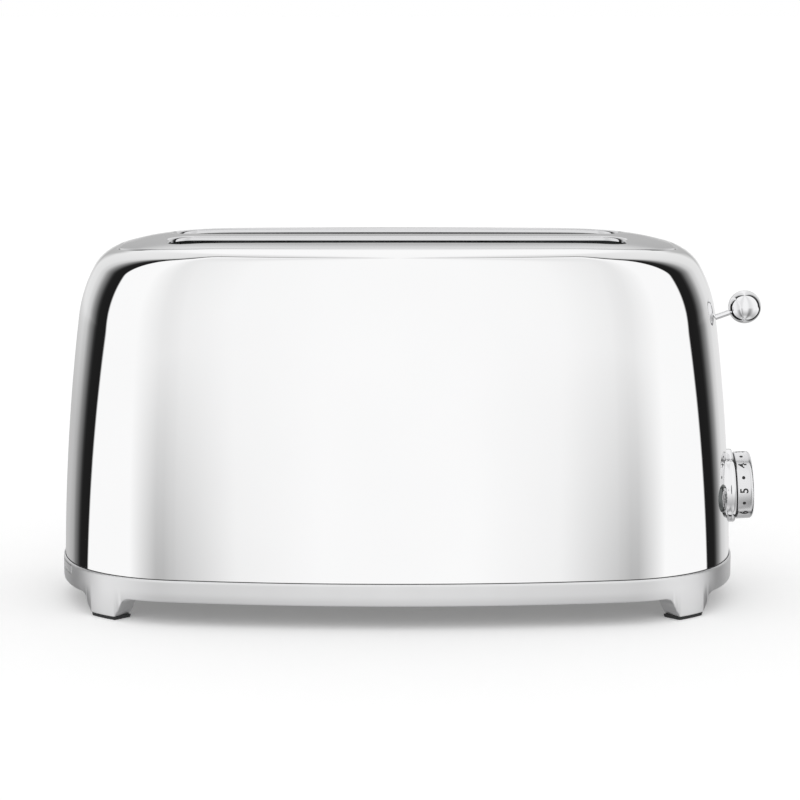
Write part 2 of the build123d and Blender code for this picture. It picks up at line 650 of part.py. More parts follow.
def make_heater_board(centre_y, way):
    near = heater_face(centre_y, way)
    y = span(near, near + way * HEATER_SHEET)
    board = block((-CHASSIS_INNER, CHASSIS_INNER), y, (HEATER_BOTTOM, HEATER_BOTTOM + HEATER_HEIGHT))
    notch = RIBBON_WIDTH * 2
    for end in (-1, 1):
        for row in range(RIBBON_ROWS - 1):
            z = ribbon_z(row) + ribbon_pitch() / 2
            board -= Pos(end * CHASSIS_INNER, (y[0] + y[1]) / 2, z) * Box(notch, 2 * HEATER_SHEET, notch)
    return board


def ribbon_pitch():
    return (HEATER_HEIGHT - 2 * RIBBON_MARGIN) / (RIBBON_ROWS - 1)


def ribbon_z(row):
    return HEATER_BOTTOM + RIBBON_MARGIN + row * ribbon_pitch()


def make_heater_ribbon(centre_y, way):
    """One unbroken flat strip that runs to and fro across the board."""
    near = heater_face(centre_y, way)
    y = span(near, near - way * RIBBON_SHEET)
    half = RIBBON_WIDTH / 2
    strip = None
    for row in range(RIBBON_ROWS):
        z = ribbon_z(row)
        run = block((-RIBBON_HALF_LENGTH, RIBBON_HALF_LENGTH), y, (z - half, z + half))
        strip = run if strip is None else strip + run
        if row + 1 < RIBBON_ROWS:
            end = RIBBON_HALF_LENGTH if row % 2 == 0 else -RIBBON_HALF_LENGTH + RIBBON_WIDTH
            strip += block((end - RIBBON_WIDTH, end), y, (z, ribbon_z(row + 1)))
    return strip


def make_bread_guide(centre_y, way):
    """Wire cage side: two long bars joined by upright wires."""
    y = centre_y + way * GUIDE_OFFSET
    length = 2 * (CHASSIS_HALF_LENGTH + GUIDE_OVERHANG)
    guide = None
    for z in (GUIDE_BOTTOM, GUIDE_TOP):
        bar = Pos(0, y, z) * Rot(0, 90, 0) * Cylinder(GUIDE_BAR_RADIUS, length)
        guide = bar if guide is None else guide + bar
    for count in range(GUIDE_WIRES):
        x = (count - (GUIDE_WIRES - 1) / 2) * GUIDE_PITCH
        guide += Pos(x, y, (GUIDE_BOTTOM + GUIDE_TOP) / 2) * Cylinder(GUIDE_WIRE_RADIUS, GUIDE_HEIGHT)
    return guide


def make_bread_lift(centre_y):
    """Upright strip with cross fingers that carries the bread."""
    half = LIFT_SHEET / 2
    lift = block((-CHASSIS_HALF_LENGTH - LIFT_OVERHANG, CARRIAGE_X), (centre_y - half, centre_y + half),
                 (LIFT_TOP - LIFT_HEIGHT, LIFT_TOP))
    for count in range(LIFT_FINGERS):
        x = (count - (LIFT_FINGERS - 1) / 2) * LIFT_FINGER_PITCH
        lift += block((x - LIFT_FINGER_WIDTH / 2, x + LIFT_FINGER_WIDTH / 2),
                      (centre_y - LIFT_FINGER_HALF, centre_y + LIFT_FINGER_HALF),
                      (LIFT_TOP - LIFT_FINGER_HEIGHT, LIFT_TOP))
    return lift


def lever_line():
    """Unit direction of the lever rod, from the carriage out to its ball."""
    return cos(radians(LEVER_RISE)), sin(radians(LEVER_RISE))


def lever_cylinder(radius, start, end):
    """Round block along the lever's line, between distances measured inwards from the ball's centre."""
    along_x, along_z = lever_line()
    middle = (start + end) / 2
    centre = Pos(BALL_X - middle * along_x, 0, BALL_Z - middle * along_z)
    return centre * Rot(0, 90 - LEVER_RISE, 0) * Cylinder(radius, end - start)


def make_carriage():
    web = WEB_WIDTH / 2
    side = CARRIAGE_HALF_WIDTH
    carriage = block((CARRIAGE_X, CARRIAGE_FACE), (-side, side), (CARRIAGE_BOTTOM, LIFT_TOP))
    carriage += block((CARRIAGE_FACE, GUIDE_ROD_X), (-web, web), (CARRIAGE_BOTTOM, LIFT_TOP))
    carriage += Pos(GUIDE_ROD_X, 0, 0) * disc(Plane.XY, BOSS_RADIUS, BOSS_BOTTOM, BOSS_TOP)
    lug_z = BALL_Z - LEVER_LENGTH * lever_line()[1]
    lug = Box(LEVER_LUG_REACH, LEVER_LUG_WIDTH, LEVER_LUG_HEIGHT)
    carriage += Pos(GUIDE_ROD_X + LEVER_LUG_REACH / 2, 0, lug_z) * lug
    carriage += block((GUIDE_ROD_X - web, GUIDE_ROD_X + web), (MAGNET_Y - MAGNET_WIDTH / 2, 0),
                      (BOSS_BOTTOM, BOSS_BOTTOM + KEEPER_SHEET))
    reach = SPRING_RADIUS + SPRING_WIRE
    carriage += block((CARRIAGE_FACE, GUIDE_ROD_X + reach), (SPRING_Y - reach, SPRING_Y + reach),
                      (CARRIAGE_BOTTOM, CARRIAGE_BOTTOM + SPRING_LUG_HEIGHT))
    carriage -= Pos(GUIDE_ROD_X, 0, CARRIAGE_BOTTOM) * Cylinder(GUIDE_ROD_RADIUS + RUNNING_CLEARANCE, FAR)
    carriage -= lever_cylinder(LEVER_RADIUS, 0, LEVER_LENGTH)
    return carriage


def make_guide_rod():
    top = BRACKET_Z + BRACKET_SHEET
    rod = Pos(GUIDE_ROD_X, 0, (PAN_TOP + top) / 2) * Cylinder(GUIDE_ROD_RADIUS, top - PAN_TOP)
    return chamfer(rod.edges().sort_by(Axis.Z)[-1], GUIDE_ROD_RADIUS / 6)


def make_guide_rod_bracket():
    end, side = GUIDE_ROD_X + BRACKET_REACH, BRACKET_HALF_WIDTH
    bracket = block((CHASSIS_HALF_LENGTH, end), (-side, side), (BRACKET_Z, BRACKET_Z + BRACKET_SHEET))
    outer = bracket.edges().filter_by(Axis.Z).group_by(Axis.X)[-1]
    bracket = fillet(outer, BRACKET_REACH / 2)
    flange_x = (CHASSIS_HALF_LENGTH, CHASSIS_HALF_LENGTH + BRACKET_SHEET / 2)
    bracket += block(flange_x, (-side, side), (BRACKET_Z, BRACKET_Z + BRACKET_FLANGE))
    return bracket - Pos(GUIDE_ROD_X, 0, BRACKET_Z) * Cylinder(GUIDE_ROD_RADIUS, 4 * BRACKET_SHEET)


def make_carriage_bumper():
    low = BOSS_TOP + BUMPER_GAP
    bumper = Pos(GUIDE_ROD_X, 0, (low + BRACKET_Z) / 2) * Cylinder(BUMPER_RADIUS, BRACKET_Z - low)
    return bumper - Pos(GUIDE_ROD_X, 0, BRACKET_Z) * Cylinder(GUIDE_ROD_RADIUS, FAR)


def make_lift_spring():
    """Pull spring from the carriage's lug up to the bracket, wound as one unbroken wire."""
    low = CARRIAGE_BOTTOM + SPRING_LUG_HEIGHT + SPRING_WIRE
    high = BRACKET_Z - SPRING_WIRE
    path = Helix((high - low) / SPRING_TURNS, high - low, SPRING_RADIUS)
    start = Plane(origin=path @ 0, z_dir=path % 0)
    coil = sweep(start * RegularPolygon(SPRING_WIRE, 6), path)
    return Pos(GUIDE_ROD_X, SPRING_Y, low) * coil


def make_latch_magnet():
    """Coil on a two-legged core that stands on the base pan."""
    top = KEEPER_BOTTOM - TRAVEL - MAGNET_GAP
    x = (GUIDE_ROD_X - MAGNET_LENGTH / 2, GUIDE_ROD_X + MAGNET_LENGTH / 2)
    y = (MAGNET_Y - MAGNET_WIDTH / 2, MAGNET_Y + MAGNET_WIDTH / 2)
    magnet = block(x, y, (PAN_TOP, top))
    margin = COIL_MARGIN
    magnet -= block(x, (MAGNET_Y - margin, MAGNET_Y + margin), (top - 2 * margin, top))
    return chamfer(magnet.edges().filter_by(Axis.Z).group_by(Axis.Y)[-1], margin / 2)


def make_latch_keeper():
    x = (GUIDE_ROD_X - MAGNET_LENGTH / 2, GUIDE_ROD_X + MAGNET_LENGTH / 2)
    y = (MAGNET_Y - MAGNET_WIDTH / 2, -BOSS_RADIUS - RUNNING_CLEARANCE)
    return block(x, y, (KEEPER_BOTTOM, BOSS_BOTTOM))


def make_lever_rod():
    return lever_cylinder(LEVER_RADIUS, BALL_RADIUS - LEVER_IN_BALL, LEVER_LENGTH)


def make_lever_ball():
    ball = Pos(BALL_X, 0, BALL_Z) * Sphere(BALL_RADIUS)
    return ball - lever_cylinder(LEVER_RADIUS, BALL_RADIUS - LEVER_IN_BALL, LEVER_LENGTH)


def make_lever_slot_liner():
    """Dark guard behind the lever slot, curved like the shell it lies against."""
    liner = body_form(-SHEET - LINER_GAP) - body_form(-SHEET - LINER_GAP - LINER_SHEET)
    half = LINER_WIDTH / 2
    liner_z = (LEVER_SLOT_BOTTOM - LINER_MARGIN, LEVER_SLOT_TOP + LINER_MARGIN)
    liner &= block((PLATE_HALF_LENGTH, FAR), (-half, half), liner_z)
    slit = LINER_SLIT / 2
    return liner - block((0, FAR), (-slit, slit), (LEVER_SLOT_BOTTOM + slit, LEVER_SLOT_TOP - slit))


def make_dial():
    """Turned knob with a hollow back round its hub."""
    start = BEZEL_HEIGHT + DIAL_GAP
    end = start + DIAL_LENGTH
    knob = disc(Plane.XY, DIAL_RADIUS, start, end)
    knob = fillet(knob.edges().sort_by(Axis.Z)[-1], DIAL_EDGE)
    knob -= disc(Plane.XY, DIAL_RADIUS - DIAL_EDGE - DIAL_WALL, end - DIAL_FACE_DISH, end + 1)
    knob -= disc(Plane.XY, DIAL_RADIUS - DIAL_WALL, start, start + DIAL_HOLLOW)
    knob += disc(Plane.XY, DIAL_HUB_RADIUS, BEZEL_HEIGHT + HUB_GAP, start + DIAL_HOLLOW)
    knob -= disc(Plane.XY, SHAFT_RADIUS, 0, BEZEL_HEIGHT + SHAFT_IN_DIAL)
    return DIAL_PLANE * knob


def make_dial_shaft():
    return disc(DIAL_PLANE, SHAFT_RADIUS, -SHAFT_IN_BODY, BEZEL_HEIGHT + SHAFT_IN_DIAL)


def make_dial_bezel():
    bezel = disc(DIAL_PLANE, BEZEL_RADIUS, -BEZEL_NECK / 2, BEZEL_HEIGHT)
    rim = bezel.edges().filter_by(GeomType.CIRCLE).sort_by(Axis.X)[-1]
    bezel = fillet(rim, BEZEL_EDGE)
    bezel -= body_form(SEAT_GAP)
    bezel += disc(DIAL_PLANE, BEZEL_NECK_RADIUS, -BEZEL_NECK, BEZEL_HEIGHT / 2)
    return bezel - disc(DIAL_PLANE, SHAFT_RADIUS + RUNNING_CLEARANCE, -2 * BEZEL_NECK, 2 * BEZEL_HEIGHT)


def make_potentiometer():
    pot = disc(DIAL_PLANE, POT_RADIUS, -BOARD_OFFSET, POT_LENGTH - BOARD_OFFSET)
    bore = disc(DIAL_PLANE, SHAFT_RADIUS + RUNNING_CLEARANCE, -SHAFT_IN_BODY - RUNNING_CLEARANCE, POT_LENGTH)
    return pot - bore


def make_control_board():
    return DIAL_PLANE * Pos(0, 0, -BOARD_OFFSET - BOARD_SHEET / 2) * Box(
        2 * BOARD_HALF_WIDTH, 2 * BOARD_HALF_HEIGHT, BOARD_SHEET)


def make_board_standoffs():
    """Four posts from the chassis end plate to the control board."""
    back = BOARD_OFFSET + BOARD_SHEET
    posts = []
    for across in (-STANDOFF_Y, STANDOFF_Y):
        for up in (-STANDOFF_UP, STANDOFF_UP):
            post = DIAL_PLANE * Pos(across, up, 0) * disc(Plane.XY, STANDOFF_RADIUS, -back - FAR / 4, -back)
            posts.append(post & block((CHASSIS_HALF_LENGTH, FAR), (-FAR, FAR), (0, FAR)))
    return Compound(posts)


def make_button_bezel(plane):
    """Flanged sleeve that lines the shell's hole and guides the cap."""
    bore = BUTTON_RADIUS + RUNNING_CLEARANCE
    flange = disc(plane, BUTTON_RADIUS + BUTTON_RING_WIDTH, -BUTTON_RING_HEIGHT, BUTTON_RING_HEIGHT)
    flange -= body_form(SEAT_GAP)
    sleeve = disc(plane, bore + BUTTON_SLEEVE, -BUTTON_SLEEVE_DEPTH, BUTTON_RING_HEIGHT / 2)
    return flange + sleeve - disc(plane, bore, -2 * BUTTON_SLEEVE_DEPTH, 2 * BUTTON_RING_HEIGHT)


def make_button_cap():
    cap = disc(Plane.XY, BUTTON_RADIUS, -BUTTON_DEPTH, BUTTON_PROUD)
    cap = fillet(cap.edges().sort_by(Axis.Z)[-1], BUTTON_EDGE)
    return cap + disc(Plane.XY, BUTTON_STEM_RADIUS, -BUTTON_DEPTH - BUTTON_STEM, -BUTTON_DEPTH)


def make_button_switch(plane):
    """Push switch on the control board, square to its button."""
    top = BUTTON_DEPTH + BUTTON_STEM + BUTTON_TRAVEL + SWITCH_GAP
    switch = plane * Pos(0, 0, -top - SWITCH_SIZE / 2) * Box(SWITCH_SIZE, SWITCH_SIZE, SWITCH_SIZE)
    behind = DIAL_PLANE * Pos(0, 0, -BOARD_OFFSET - FAR / 2) * Box(FAR, FAR, FAR)
    return switch - behind


write("outer_shell", make_outer_shell())
write("top_plate", make_top_plate())
write("base_ring", make_base_ring())
for name, (side_x, side_y) in CORNERS.items():
    write(f"foot_pad_{name}", make_foot_pad(side_x, side_y))
write("base_pan", make_base_pan())
write("base_screws", make_base_screws())
write("cord_gland", make_cord_gland())
write("terminal_block", make_terminal_block())
write("crumb_tray", make_crumb_tray())
write("chassis_end_left", make_chassis_end(-1))
write("chassis_end_right", make_chassis_end(1))
write("heat_shield_front", make_heat_shield(-1))
write("heat_shield_back", make_heat_shield(1))
for name, centre_y in SLOT_CENTRES.items():
    outward = 1 if centre_y > 0 else -1
    for side, way in (("outer", outward), ("inner", -outward)):
        write(f"heater_board_{name}_{side}", make_heater_board(centre_y, way))
        write(f"heater_ribbon_{name}_{side}", make_heater_ribbon(centre_y, way))
        write(f"bread_guide_{name}_{side}", make_bread_guide(centre_y, way))
    write(f"bread_lift_{name}", make_bread_lift(centre_y))
write("carriage", make_carriage())
write("carriage_guide_rod", make_guide_rod())
write("guide_rod_bracket", make_guide_rod_bracket())
write("carriage_bumper", make_carriage_bumper())
write("lift_spring", make_lift_spring())
write("latch_magnet", make_latch_magnet())
write("latch_keeper", make_latch_keeper())
write("lever_rod", make_lever_rod())
write("lever_ball", make_lever_ball())
write("lever_slot_liner", make_lever_slot_liner())
write("dial", make_dial())
write("dial_shaft", make_dial_shaft())
write("dial_bezel", make_dial_bezel())
write("potentiometer", make_potentiometer())
write("control_board", make_control_board())
write("board_standoffs", make_board_standoffs())
for name, plane in BUTTON_PLANES.items():
    write(f"button_bezel_{name}", make_button_bezel(plane))
    write(f"button_cap_{name}", plane * make_button_cap())
    write(f"button_switch_{name}", make_button_switch(plane))
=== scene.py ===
import json
from math import asin, atan2, cos, hypot, pi, radians, sin, sqrt

import bpy
import numpy as np
from mathutils import Matrix, Vector
from mathutils.geometry import delaunay_2d_cdt


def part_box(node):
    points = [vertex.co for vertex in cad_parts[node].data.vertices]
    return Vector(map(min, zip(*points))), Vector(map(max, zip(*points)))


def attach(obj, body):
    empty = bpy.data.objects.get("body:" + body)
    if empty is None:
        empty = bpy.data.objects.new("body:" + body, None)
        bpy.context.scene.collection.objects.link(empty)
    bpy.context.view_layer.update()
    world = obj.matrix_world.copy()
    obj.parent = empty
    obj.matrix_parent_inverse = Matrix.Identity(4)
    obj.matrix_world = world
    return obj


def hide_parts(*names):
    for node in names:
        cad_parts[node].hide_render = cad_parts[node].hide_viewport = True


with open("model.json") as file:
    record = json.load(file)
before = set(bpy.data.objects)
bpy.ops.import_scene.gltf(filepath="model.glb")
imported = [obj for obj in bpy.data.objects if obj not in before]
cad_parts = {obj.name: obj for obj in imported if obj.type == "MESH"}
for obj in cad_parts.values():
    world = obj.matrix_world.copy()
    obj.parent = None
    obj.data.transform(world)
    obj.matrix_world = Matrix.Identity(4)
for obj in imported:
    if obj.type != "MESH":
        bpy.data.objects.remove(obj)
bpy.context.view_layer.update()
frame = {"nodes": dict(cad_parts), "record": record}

NODES = frame["nodes"]
MM = 0.001

# The camera that was fitted to the photograph: distances in metres, image 800 pixels wide
CAMERA_DISTANCE = 1.600
CAMERA_HEIGHT = 0.3415
CAMERA_TILT = 8.2526
CAMERA_ASIDE = 0.0015
CAMERA_FOCAL_PIXELS = 2858.2
IMAGE_PIXELS = 800
SENSOR = 36.0

# Plan and profiles of the drawn body in millimetres, about the middle of the base ring.
# Towards the top the plan grows squarer: its ends flatten and its corners tighten by these powers.
END_RADIUS, CORNER_RADIUS, FRONT_RADIUS = 124.6, 76.4, 724.6
END_FLATTENING, CORNER_TIGHTENING, FRONT_FLATTENING = 4.34, 1.17, 0.26
SHELL_INSET = 1.07
CROWN_Z = 203.4
SHEET = 0.8
END_LEAN, END_WALL, END_SHOULDER_Z, END_SHOULDER, END_RIM = 0.92, 1186.0, 159.2, 77.2, 20.5
END_FLAT, END_CROWN = 110.2, 170.7
FRONT_LEAN, FRONT_WALL, FRONT_SHOULDER_Z, FRONT_SHOULDER, FRONT_RIM = 0.6, 2214.0, 158.6, 109.3, 7.6
FRONT_FLAT, FRONT_CROWN = 31.4, 382.6

# The crown is eased over its top, so that it stays a little below the solid's own top
EASE_START, EASE_DEPTH = 202.4, 0.32

# Top plate and slots
PLATE_HALF_LENGTH, PLATE_HALF_DEPTH = 154.7, 68.8
PLATE_RADII = (400.0, 53.8, 1283.0)
SLOT_LENGTH, SLOT_WIDTH, SLOT_PITCH, SLOT_CORNER = 252.0, 36.0, 55.0, 13.0
LEVER_SLOT_TOP, LEVER_SLOT_BOTTOM, LEVER_SLOT_WIDTH = 166.4, 87.0, 6.0

RING_LOW, RING_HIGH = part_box("base_ring")
RING_HALF_LENGTH = (RING_HIGH[0] - RING_LOW[0]) / 2 / MM
RING_HALF_DEPTH = (RING_HIGH[1] - RING_LOW[1]) / 2 / MM
RING_TOP = RING_HIGH[2] / MM
MIDDLE_X = (RING_HIGH[0] + RING_LOW[0]) / 2 / MM


def to_frame(x, y, z):
    """Millimetres about the middle of the body to metres in the frame."""
    return ((x + MIDDLE_X) * MM, y * MM, z * MM)


# Geometry of the body

def tangent_centre(first, first_reach, second, second_reach):
    """Point at one distance from each of two centres, on the side away from the origin."""
    across_x, across_y = second[0] - first[0], second[1] - first[1]
    gap = hypot(across_x, across_y)
    along = (gap**2 + first_reach**2 - second_reach**2) / (2 * gap)
    aside = sqrt(first_reach**2 - along**2)
    unit_x, unit_y = across_x / gap, across_y / gap
    foot = (first[0] + along * unit_x, first[1] + along * unit_y)
    choices = [(foot[0] - side * unit_y, foot[1] + side * unit_x) for side in (aside, -aside)]
    return max(choices, key=sum)


def profile(foot, lean, wall_radius, shoulder_z, shoulder_radius, rim_radius, flat, crown_radius):
    """Arcs of one side of the body, each as centre, radius and the sine of its upper end's angle."""
    wall = (foot - wall_radius * cos(radians(lean)), RING_TOP - wall_radius * sin(radians(lean)))
    turn_sine = (shoulder_z - wall[1]) / wall_radius
    reach = wall_radius - shoulder_radius
    shoulder = (wall[0] + reach * sqrt(1 - turn_sine**2), wall[1] + reach * turn_sine)
    crown = (flat, CROWN_Z - crown_radius)
    rim = tangent_centre(shoulder, shoulder_radius - rim_radius, crown, crown_radius - rim_radius)
    rim_sine = (rim[1] - shoulder[1]) / (shoulder_radius - rim_radius)
    crown_sine = (rim[1] - crown[1]) / (crown_radius - rim_radius)
    return [
        (wall, wall_radius, turn_sine),
        (shoulder, shoulder_radius, rim_sine),
        (rim, rim_radius, crown_sine),
        (crown, crown_radius, 1.0),
    ]


END_PROFILE = profile(
    RING_HALF_LENGTH - SHELL_INSET, END_LEAN, END_WALL, END_SHOULDER_Z,
    END_SHOULDER, END_RIM, END_FLAT, END_CROWN,
)
FRONT_PROFILE = profile(
    RING_HALF_DEPTH - SHELL_INSET, FRONT_LEAN, FRONT_WALL, FRONT_SHOULDER_Z,
    FRONT_SHOULDER, FRONT_RIM, FRONT_FLAT, FRONT_CROWN,
)


def half_size(arcs, z):
    """Half size of the body at a height."""
    for centre, radius, end_sine in arcs:
        if z <= centre[1] + radius * end_sine:
            return centre[0] + sqrt(max(radius**2 - (z - centre[1]) ** 2, 0.0))
    return arcs[-1][0][0]


class Plan:
    """Rounded plan of one size: end, corner and front arcs that run on into each other."""

    def __init__(self, half_length, half_depth, radii, grow=0.0):
        self.end_radius, self.corner_radius, self.front_radius = radii
        self.end = (half_length - self.end_radius, 0.0)
        self.front = (0.0, half_depth - self.front_radius)
        self.corner = tangent_centre(
            self.end, self.end_radius - self.corner_radius,
            self.front, self.front_radius - self.corner_radius,
        )
        self.end_turn = atan2(self.corner[1] - self.end[1], self.corner[0] - self.end[0])
        self.front_turn = atan2(self.corner[1] - self.front[1], self.corner[0] - self.front[0])
        self.end_radius += grow
        self.corner_radius += grow
        self.front_radius += grow

    def point(self, kind, share, grow=0.0):
        """Point and outward direction in the first quarter; share runs along the named arc."""
        if kind == "end":
            centre, radius, turn = self.end, self.end_radius, share * self.end_turn
        elif kind == "across":
            centre, radius, turn = self.end, self.end_radius, asin(share / self.end_radius)
        elif kind == "turn":
            centre, radius, turn = self.corner, self.corner_radius, share
        elif kind == "corner":
            centre, radius = self.corner, self.corner_radius
            turn = self.end_turn + share * (self.front_turn - self.end_turn)
        else:
            centre, radius = self.front, self.front_radius
            turn = self.front_turn + share * (pi / 2 - self.front_turn)
        radius += grow
        return centre[0] + radius * cos(turn), centre[1] + radius * sin(turn), cos(turn), sin(turn)

    def outside(self, x, y):
        """Signed distance of a point from the outline, positive outside."""
        x, y = abs(x), abs(y)
        turn = atan2(y - self.corner[1], x - self.corner[0])
        if x > self.end[0] and atan2(y, x - self.end[0]) < self.end_turn:
            return hypot(x - self.end[0], y) - self.end_radius
        if atan2(y - self.front[1], x) > self.front_turn:
            return hypot(x, y - self.front[1]) - self.front_radius
        return hypot(x - self.corner[0], y - self.corner[1]) - self.corner_radius


def plan_at(z):
    half_depth = half_size(FRONT_PROFILE, z)
    narrowing = (RING_HALF_DEPTH - SHELL_INSET) / half_depth
    radii = (
        (END_RADIUS - SHELL_INSET) * narrowing**END_FLATTENING,
        (CORNER_RADIUS - SHELL_INSET) / narrowing**CORNER_TIGHTENING,
        (FRONT_RADIUS - SHELL_INSET) * narrowing**FRONT_FLATTENING,
    )
    return Plan(half_size(END_PROFILE, z), half_depth, radii)


LEVEL_COUNT = 420
LEVEL_DEPTH = 20.0
TOP_MARGIN = 0.01
LEVELS = [CROWN_Z - TOP_MARGIN - LEVEL_DEPTH * (step / LEVEL_COUNT) ** 1.5 for step in range(LEVEL_COUNT)]
LEVEL_PLANS = [plan_at(z) for z in LEVELS]


def eased(z):
    """Height after the crown is eased."""
    over = z - EASE_START
    return z - EASE_DEPTH * over**2 if over > 0 else z


def surface_height(x, y):
    """Height of the domed top above a point of the plan."""
    if LEVEL_PLANS[0].outside(x, y) <= 0:
        return eased(LEVELS[0])
    low, high = 0, len(LEVELS) - 1
    while high - low > 1:
        middle = (low + high) // 2
        if LEVEL_PLANS[middle].outside(x, y) > 0:
            low = middle
        else:
            high = middle
    over, under = LEVEL_PLANS[low].outside(x, y), LEVEL_PLANS[high].outside(x, y)
    share = over / (over - under) if over > under else 0.0
    return eased(LEVELS[low] + share * (LEVELS[high] - LEVELS[low]))


# Mesh helpers

def new_piece(name, points, faces, body, material, smooth_degrees=35.0):
    """Mesh object from points in frame metres, on a body, with its finish."""
    mesh = bpy.data.meshes.new(name)
    mesh.from_pydata(points, [], faces)
    mesh.validate()
    mesh.shade_smooth()
    mesh.set_sharp_from_angle(angle=radians(smooth_degrees))
    piece = bpy.data.objects.new(name, mesh)
    bpy.context.scene.collection.objects.link(piece)
    mesh.materials.append(material)
    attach(piece, body)
    return piece


def quarter_columns(end_count, corner_count, front_count, extra=()):
    """Places round one quarter of the plan, from the +X tip to the side's middle."""
    columns = [("end", step / end_count) for step in range(end_count)]
    columns += [("corner", step / corner_count) for step in range(corner_count)]
    columns += [("front", step / front_count) for step in range(front_count + 1)]
    return columns


def all_round(quarter):
    """Every place round the plan, as kind, share and the signs of X and Y."""
    places = [(kind, share, 1, 1) for kind, share in quarter]
    places += [(kind, share, -1, 1) for kind, share in reversed(quarter[:-1])]
    places += [(kind, share, -1, -1) for kind, share in quarter[1:]]
    places += [(kind, share, 1, -1) for kind, share in reversed(quarter[1:-1])]
    return places


def grid_faces(rows, columns, wrap=True, keep=None):
    """Quads between rows of points, each row being columns long."""
    faces = []
    for row in range(rows - 1):
        for column in range(columns if wrap else columns - 1):
            following = (column + 1) % columns
            if keep is None or keep(row, column):
                first, second = row * columns, (row + 1) * columns
                faces.append((first + column, first + following, second + following, second + column))
    return faces


def lathe(name, outline, segments, placing, body, material, smooth_degrees=35.0):
    """Turned piece: outline is (radius, height) pairs in millimetres, placing a matrix in metres."""
    points, faces = [], []
    rings = []
    for radius, height in outline:
        if radius < 1e-6:
            rings.append([len(points)])
            points.append(placing @ Vector((0, 0, height * MM)))
            continue
        ring = []
        for step in range(segments):
            turn = 2 * pi * step / segments
            ring.append(len(points))
            points.append(placing @ Vector((radius * cos(turn) * MM, radius * sin(turn) * MM, height * MM)))
        rings.append(ring)
    for first, second in zip(rings, rings[1:]):
        for step in range(segments):
            following = (step + 1) % segments
            if len(first) == 1 and len(second) > 1:
                faces.append((first[0], second[following], second[step]))
            elif len(second) == 1 and len(first) > 1:
                faces.append((first[step], first[following], second[0]))
            elif len(first) > 1:
                faces.append((first[step], first[following], second[following], second[step]))
    return new_piece(name, points, faces, body, material, smooth_degrees)


def rounded(corner, before, after, radius, steps=6):
    """Points of an arc that rounds the corner between two neighbours of an outline."""
    corner, before, after = Vector(corner), Vector(before), Vector(after)
    first, second = (before - corner).normalized(), (after - corner).normalized()
    half = first.angle(second) / 2
    reach = radius / sin(half)
    centre = corner + (first + second).normalized() * reach
    start = corner + first * (radius / np.tan(half)) - centre
    end = corner + second * (radius / np.tan(half)) - centre
    points = []
    for step in range(steps + 1):
        share = step / steps
        arm = start.slerp(end, share) if False else (start * (1 - share) + end * share)
        points.append(tuple(centre + arm.normalized() * radius))
    return points


# Materials

def node_material(name):
    material = bpy.data.materials.new(name)
    material.use_nodes = True
    tree = material.node_tree
    shader = tree.nodes["Principled BSDF"]
    place = tree.nodes.new("ShaderNodeTexCoord")
    return material, tree, shader, place


def noise(tree, place, scale, detail=3.0, stretch=(1, 1, 1)):
    """Noise value over the object's own coordinates, in metres."""
    mapping = tree.nodes.new("ShaderNodeMapping")
    mapping.inputs["Scale"].default_value = stretch
    tree.links.new(place.outputs["Object"], mapping.inputs["Vector"])
    texture = tree.nodes.new("ShaderNodeTexNoise")
    texture.inputs["Scale"].default_value = scale
    texture.inputs["Detail"].default_value = detail
    tree.links.new(mapping.outputs["Vector"], texture.inputs["Vector"])
    return texture.outputs["Fac"]


def ramp(tree, value, stops):
    """Colour ramp through (place, colour) stops."""
    node = tree.nodes.new("ShaderNodeValToRGB")
    elements = node.color_ramp.elements
    elements[0].position, elements[0].color = stops[0][0], stops[0][1]
    elements[1].position, elements[1].color = stops[1][0], stops[1][1]
    for position, colour in stops[2:]:
        elements.new(position).color = colour
    tree.links.new(value, node.inputs["Fac"])
    return node.outputs["Color"]


def grey(level, alpha=1.0):
    return (level, level, level, alpha)


def shade(colour, factor):
    return (colour[0] * factor, colour[1] * factor, colour[2] * factor, 1.0)


def bump(tree, shader, height, strength, distance):
    node = tree.nodes.new("ShaderNodeBump")
    node.inputs["Strength"].default_value = strength
    node.inputs["Distance"].default_value = distance
    tree.links.new(height, node.inputs["Height"])
    tree.links.new(node.outputs["Normal"], shader.inputs["Normal"])


def metal(name, colour, low_roughness, high_roughness, grain=(1, 1, 1), grain_scale=60.0,
          bump_strength=0.0, bump_distance=0.00002):
    """Metal whose tone and roughness drift a little, with an optional brushed grain."""
    material, tree, shader, place = node_material(name)
    shader.inputs["Metallic"].default_value = 1.0
    drift = noise(tree, place, 14.0, 2.0)
    tone = ramp(tree, drift, [(0.3, shade(colour, 0.985)), (0.7, shade(colour, 1.0))])
    tree.links.new(tone, shader.inputs["Base Color"])
    fine = noise(tree, place, grain_scale, 4.0, grain)
    rough = ramp(tree, fine, [(0.25, grey(low_roughness)), (0.75, grey(high_roughness))])
    tree.links.new(rough, shader.inputs["Roughness"])
    if bump_strength:
        bump(tree, shader, fine, bump_strength, bump_distance)
    return material


def plain(name, colour, roughness, spread, scale, bump_strength=0.15, bump_distance=0.0001):
    """Non-metal with mottled tone and a fine moulded or woven surface."""
    material, tree, shader, place = node_material(name)
    mottle = noise(tree, place, scale, 5.0)
    tone = ramp(tree, mottle, [(0.3, shade(colour, 1 - spread)), (0.7, shade(colour, 1 + spread))])
    tree.links.new(tone, shader.inputs["Base Color"])
    rough = ramp(tree, mottle, [(0.3, grey(roughness * 0.9)), (0.7, grey(min(roughness * 1.1, 1.0)))])
    tree.links.new(rough, shader.inputs["Roughness"])
    bump(tree, shader, mottle, bump_strength, bump_distance)
    return material


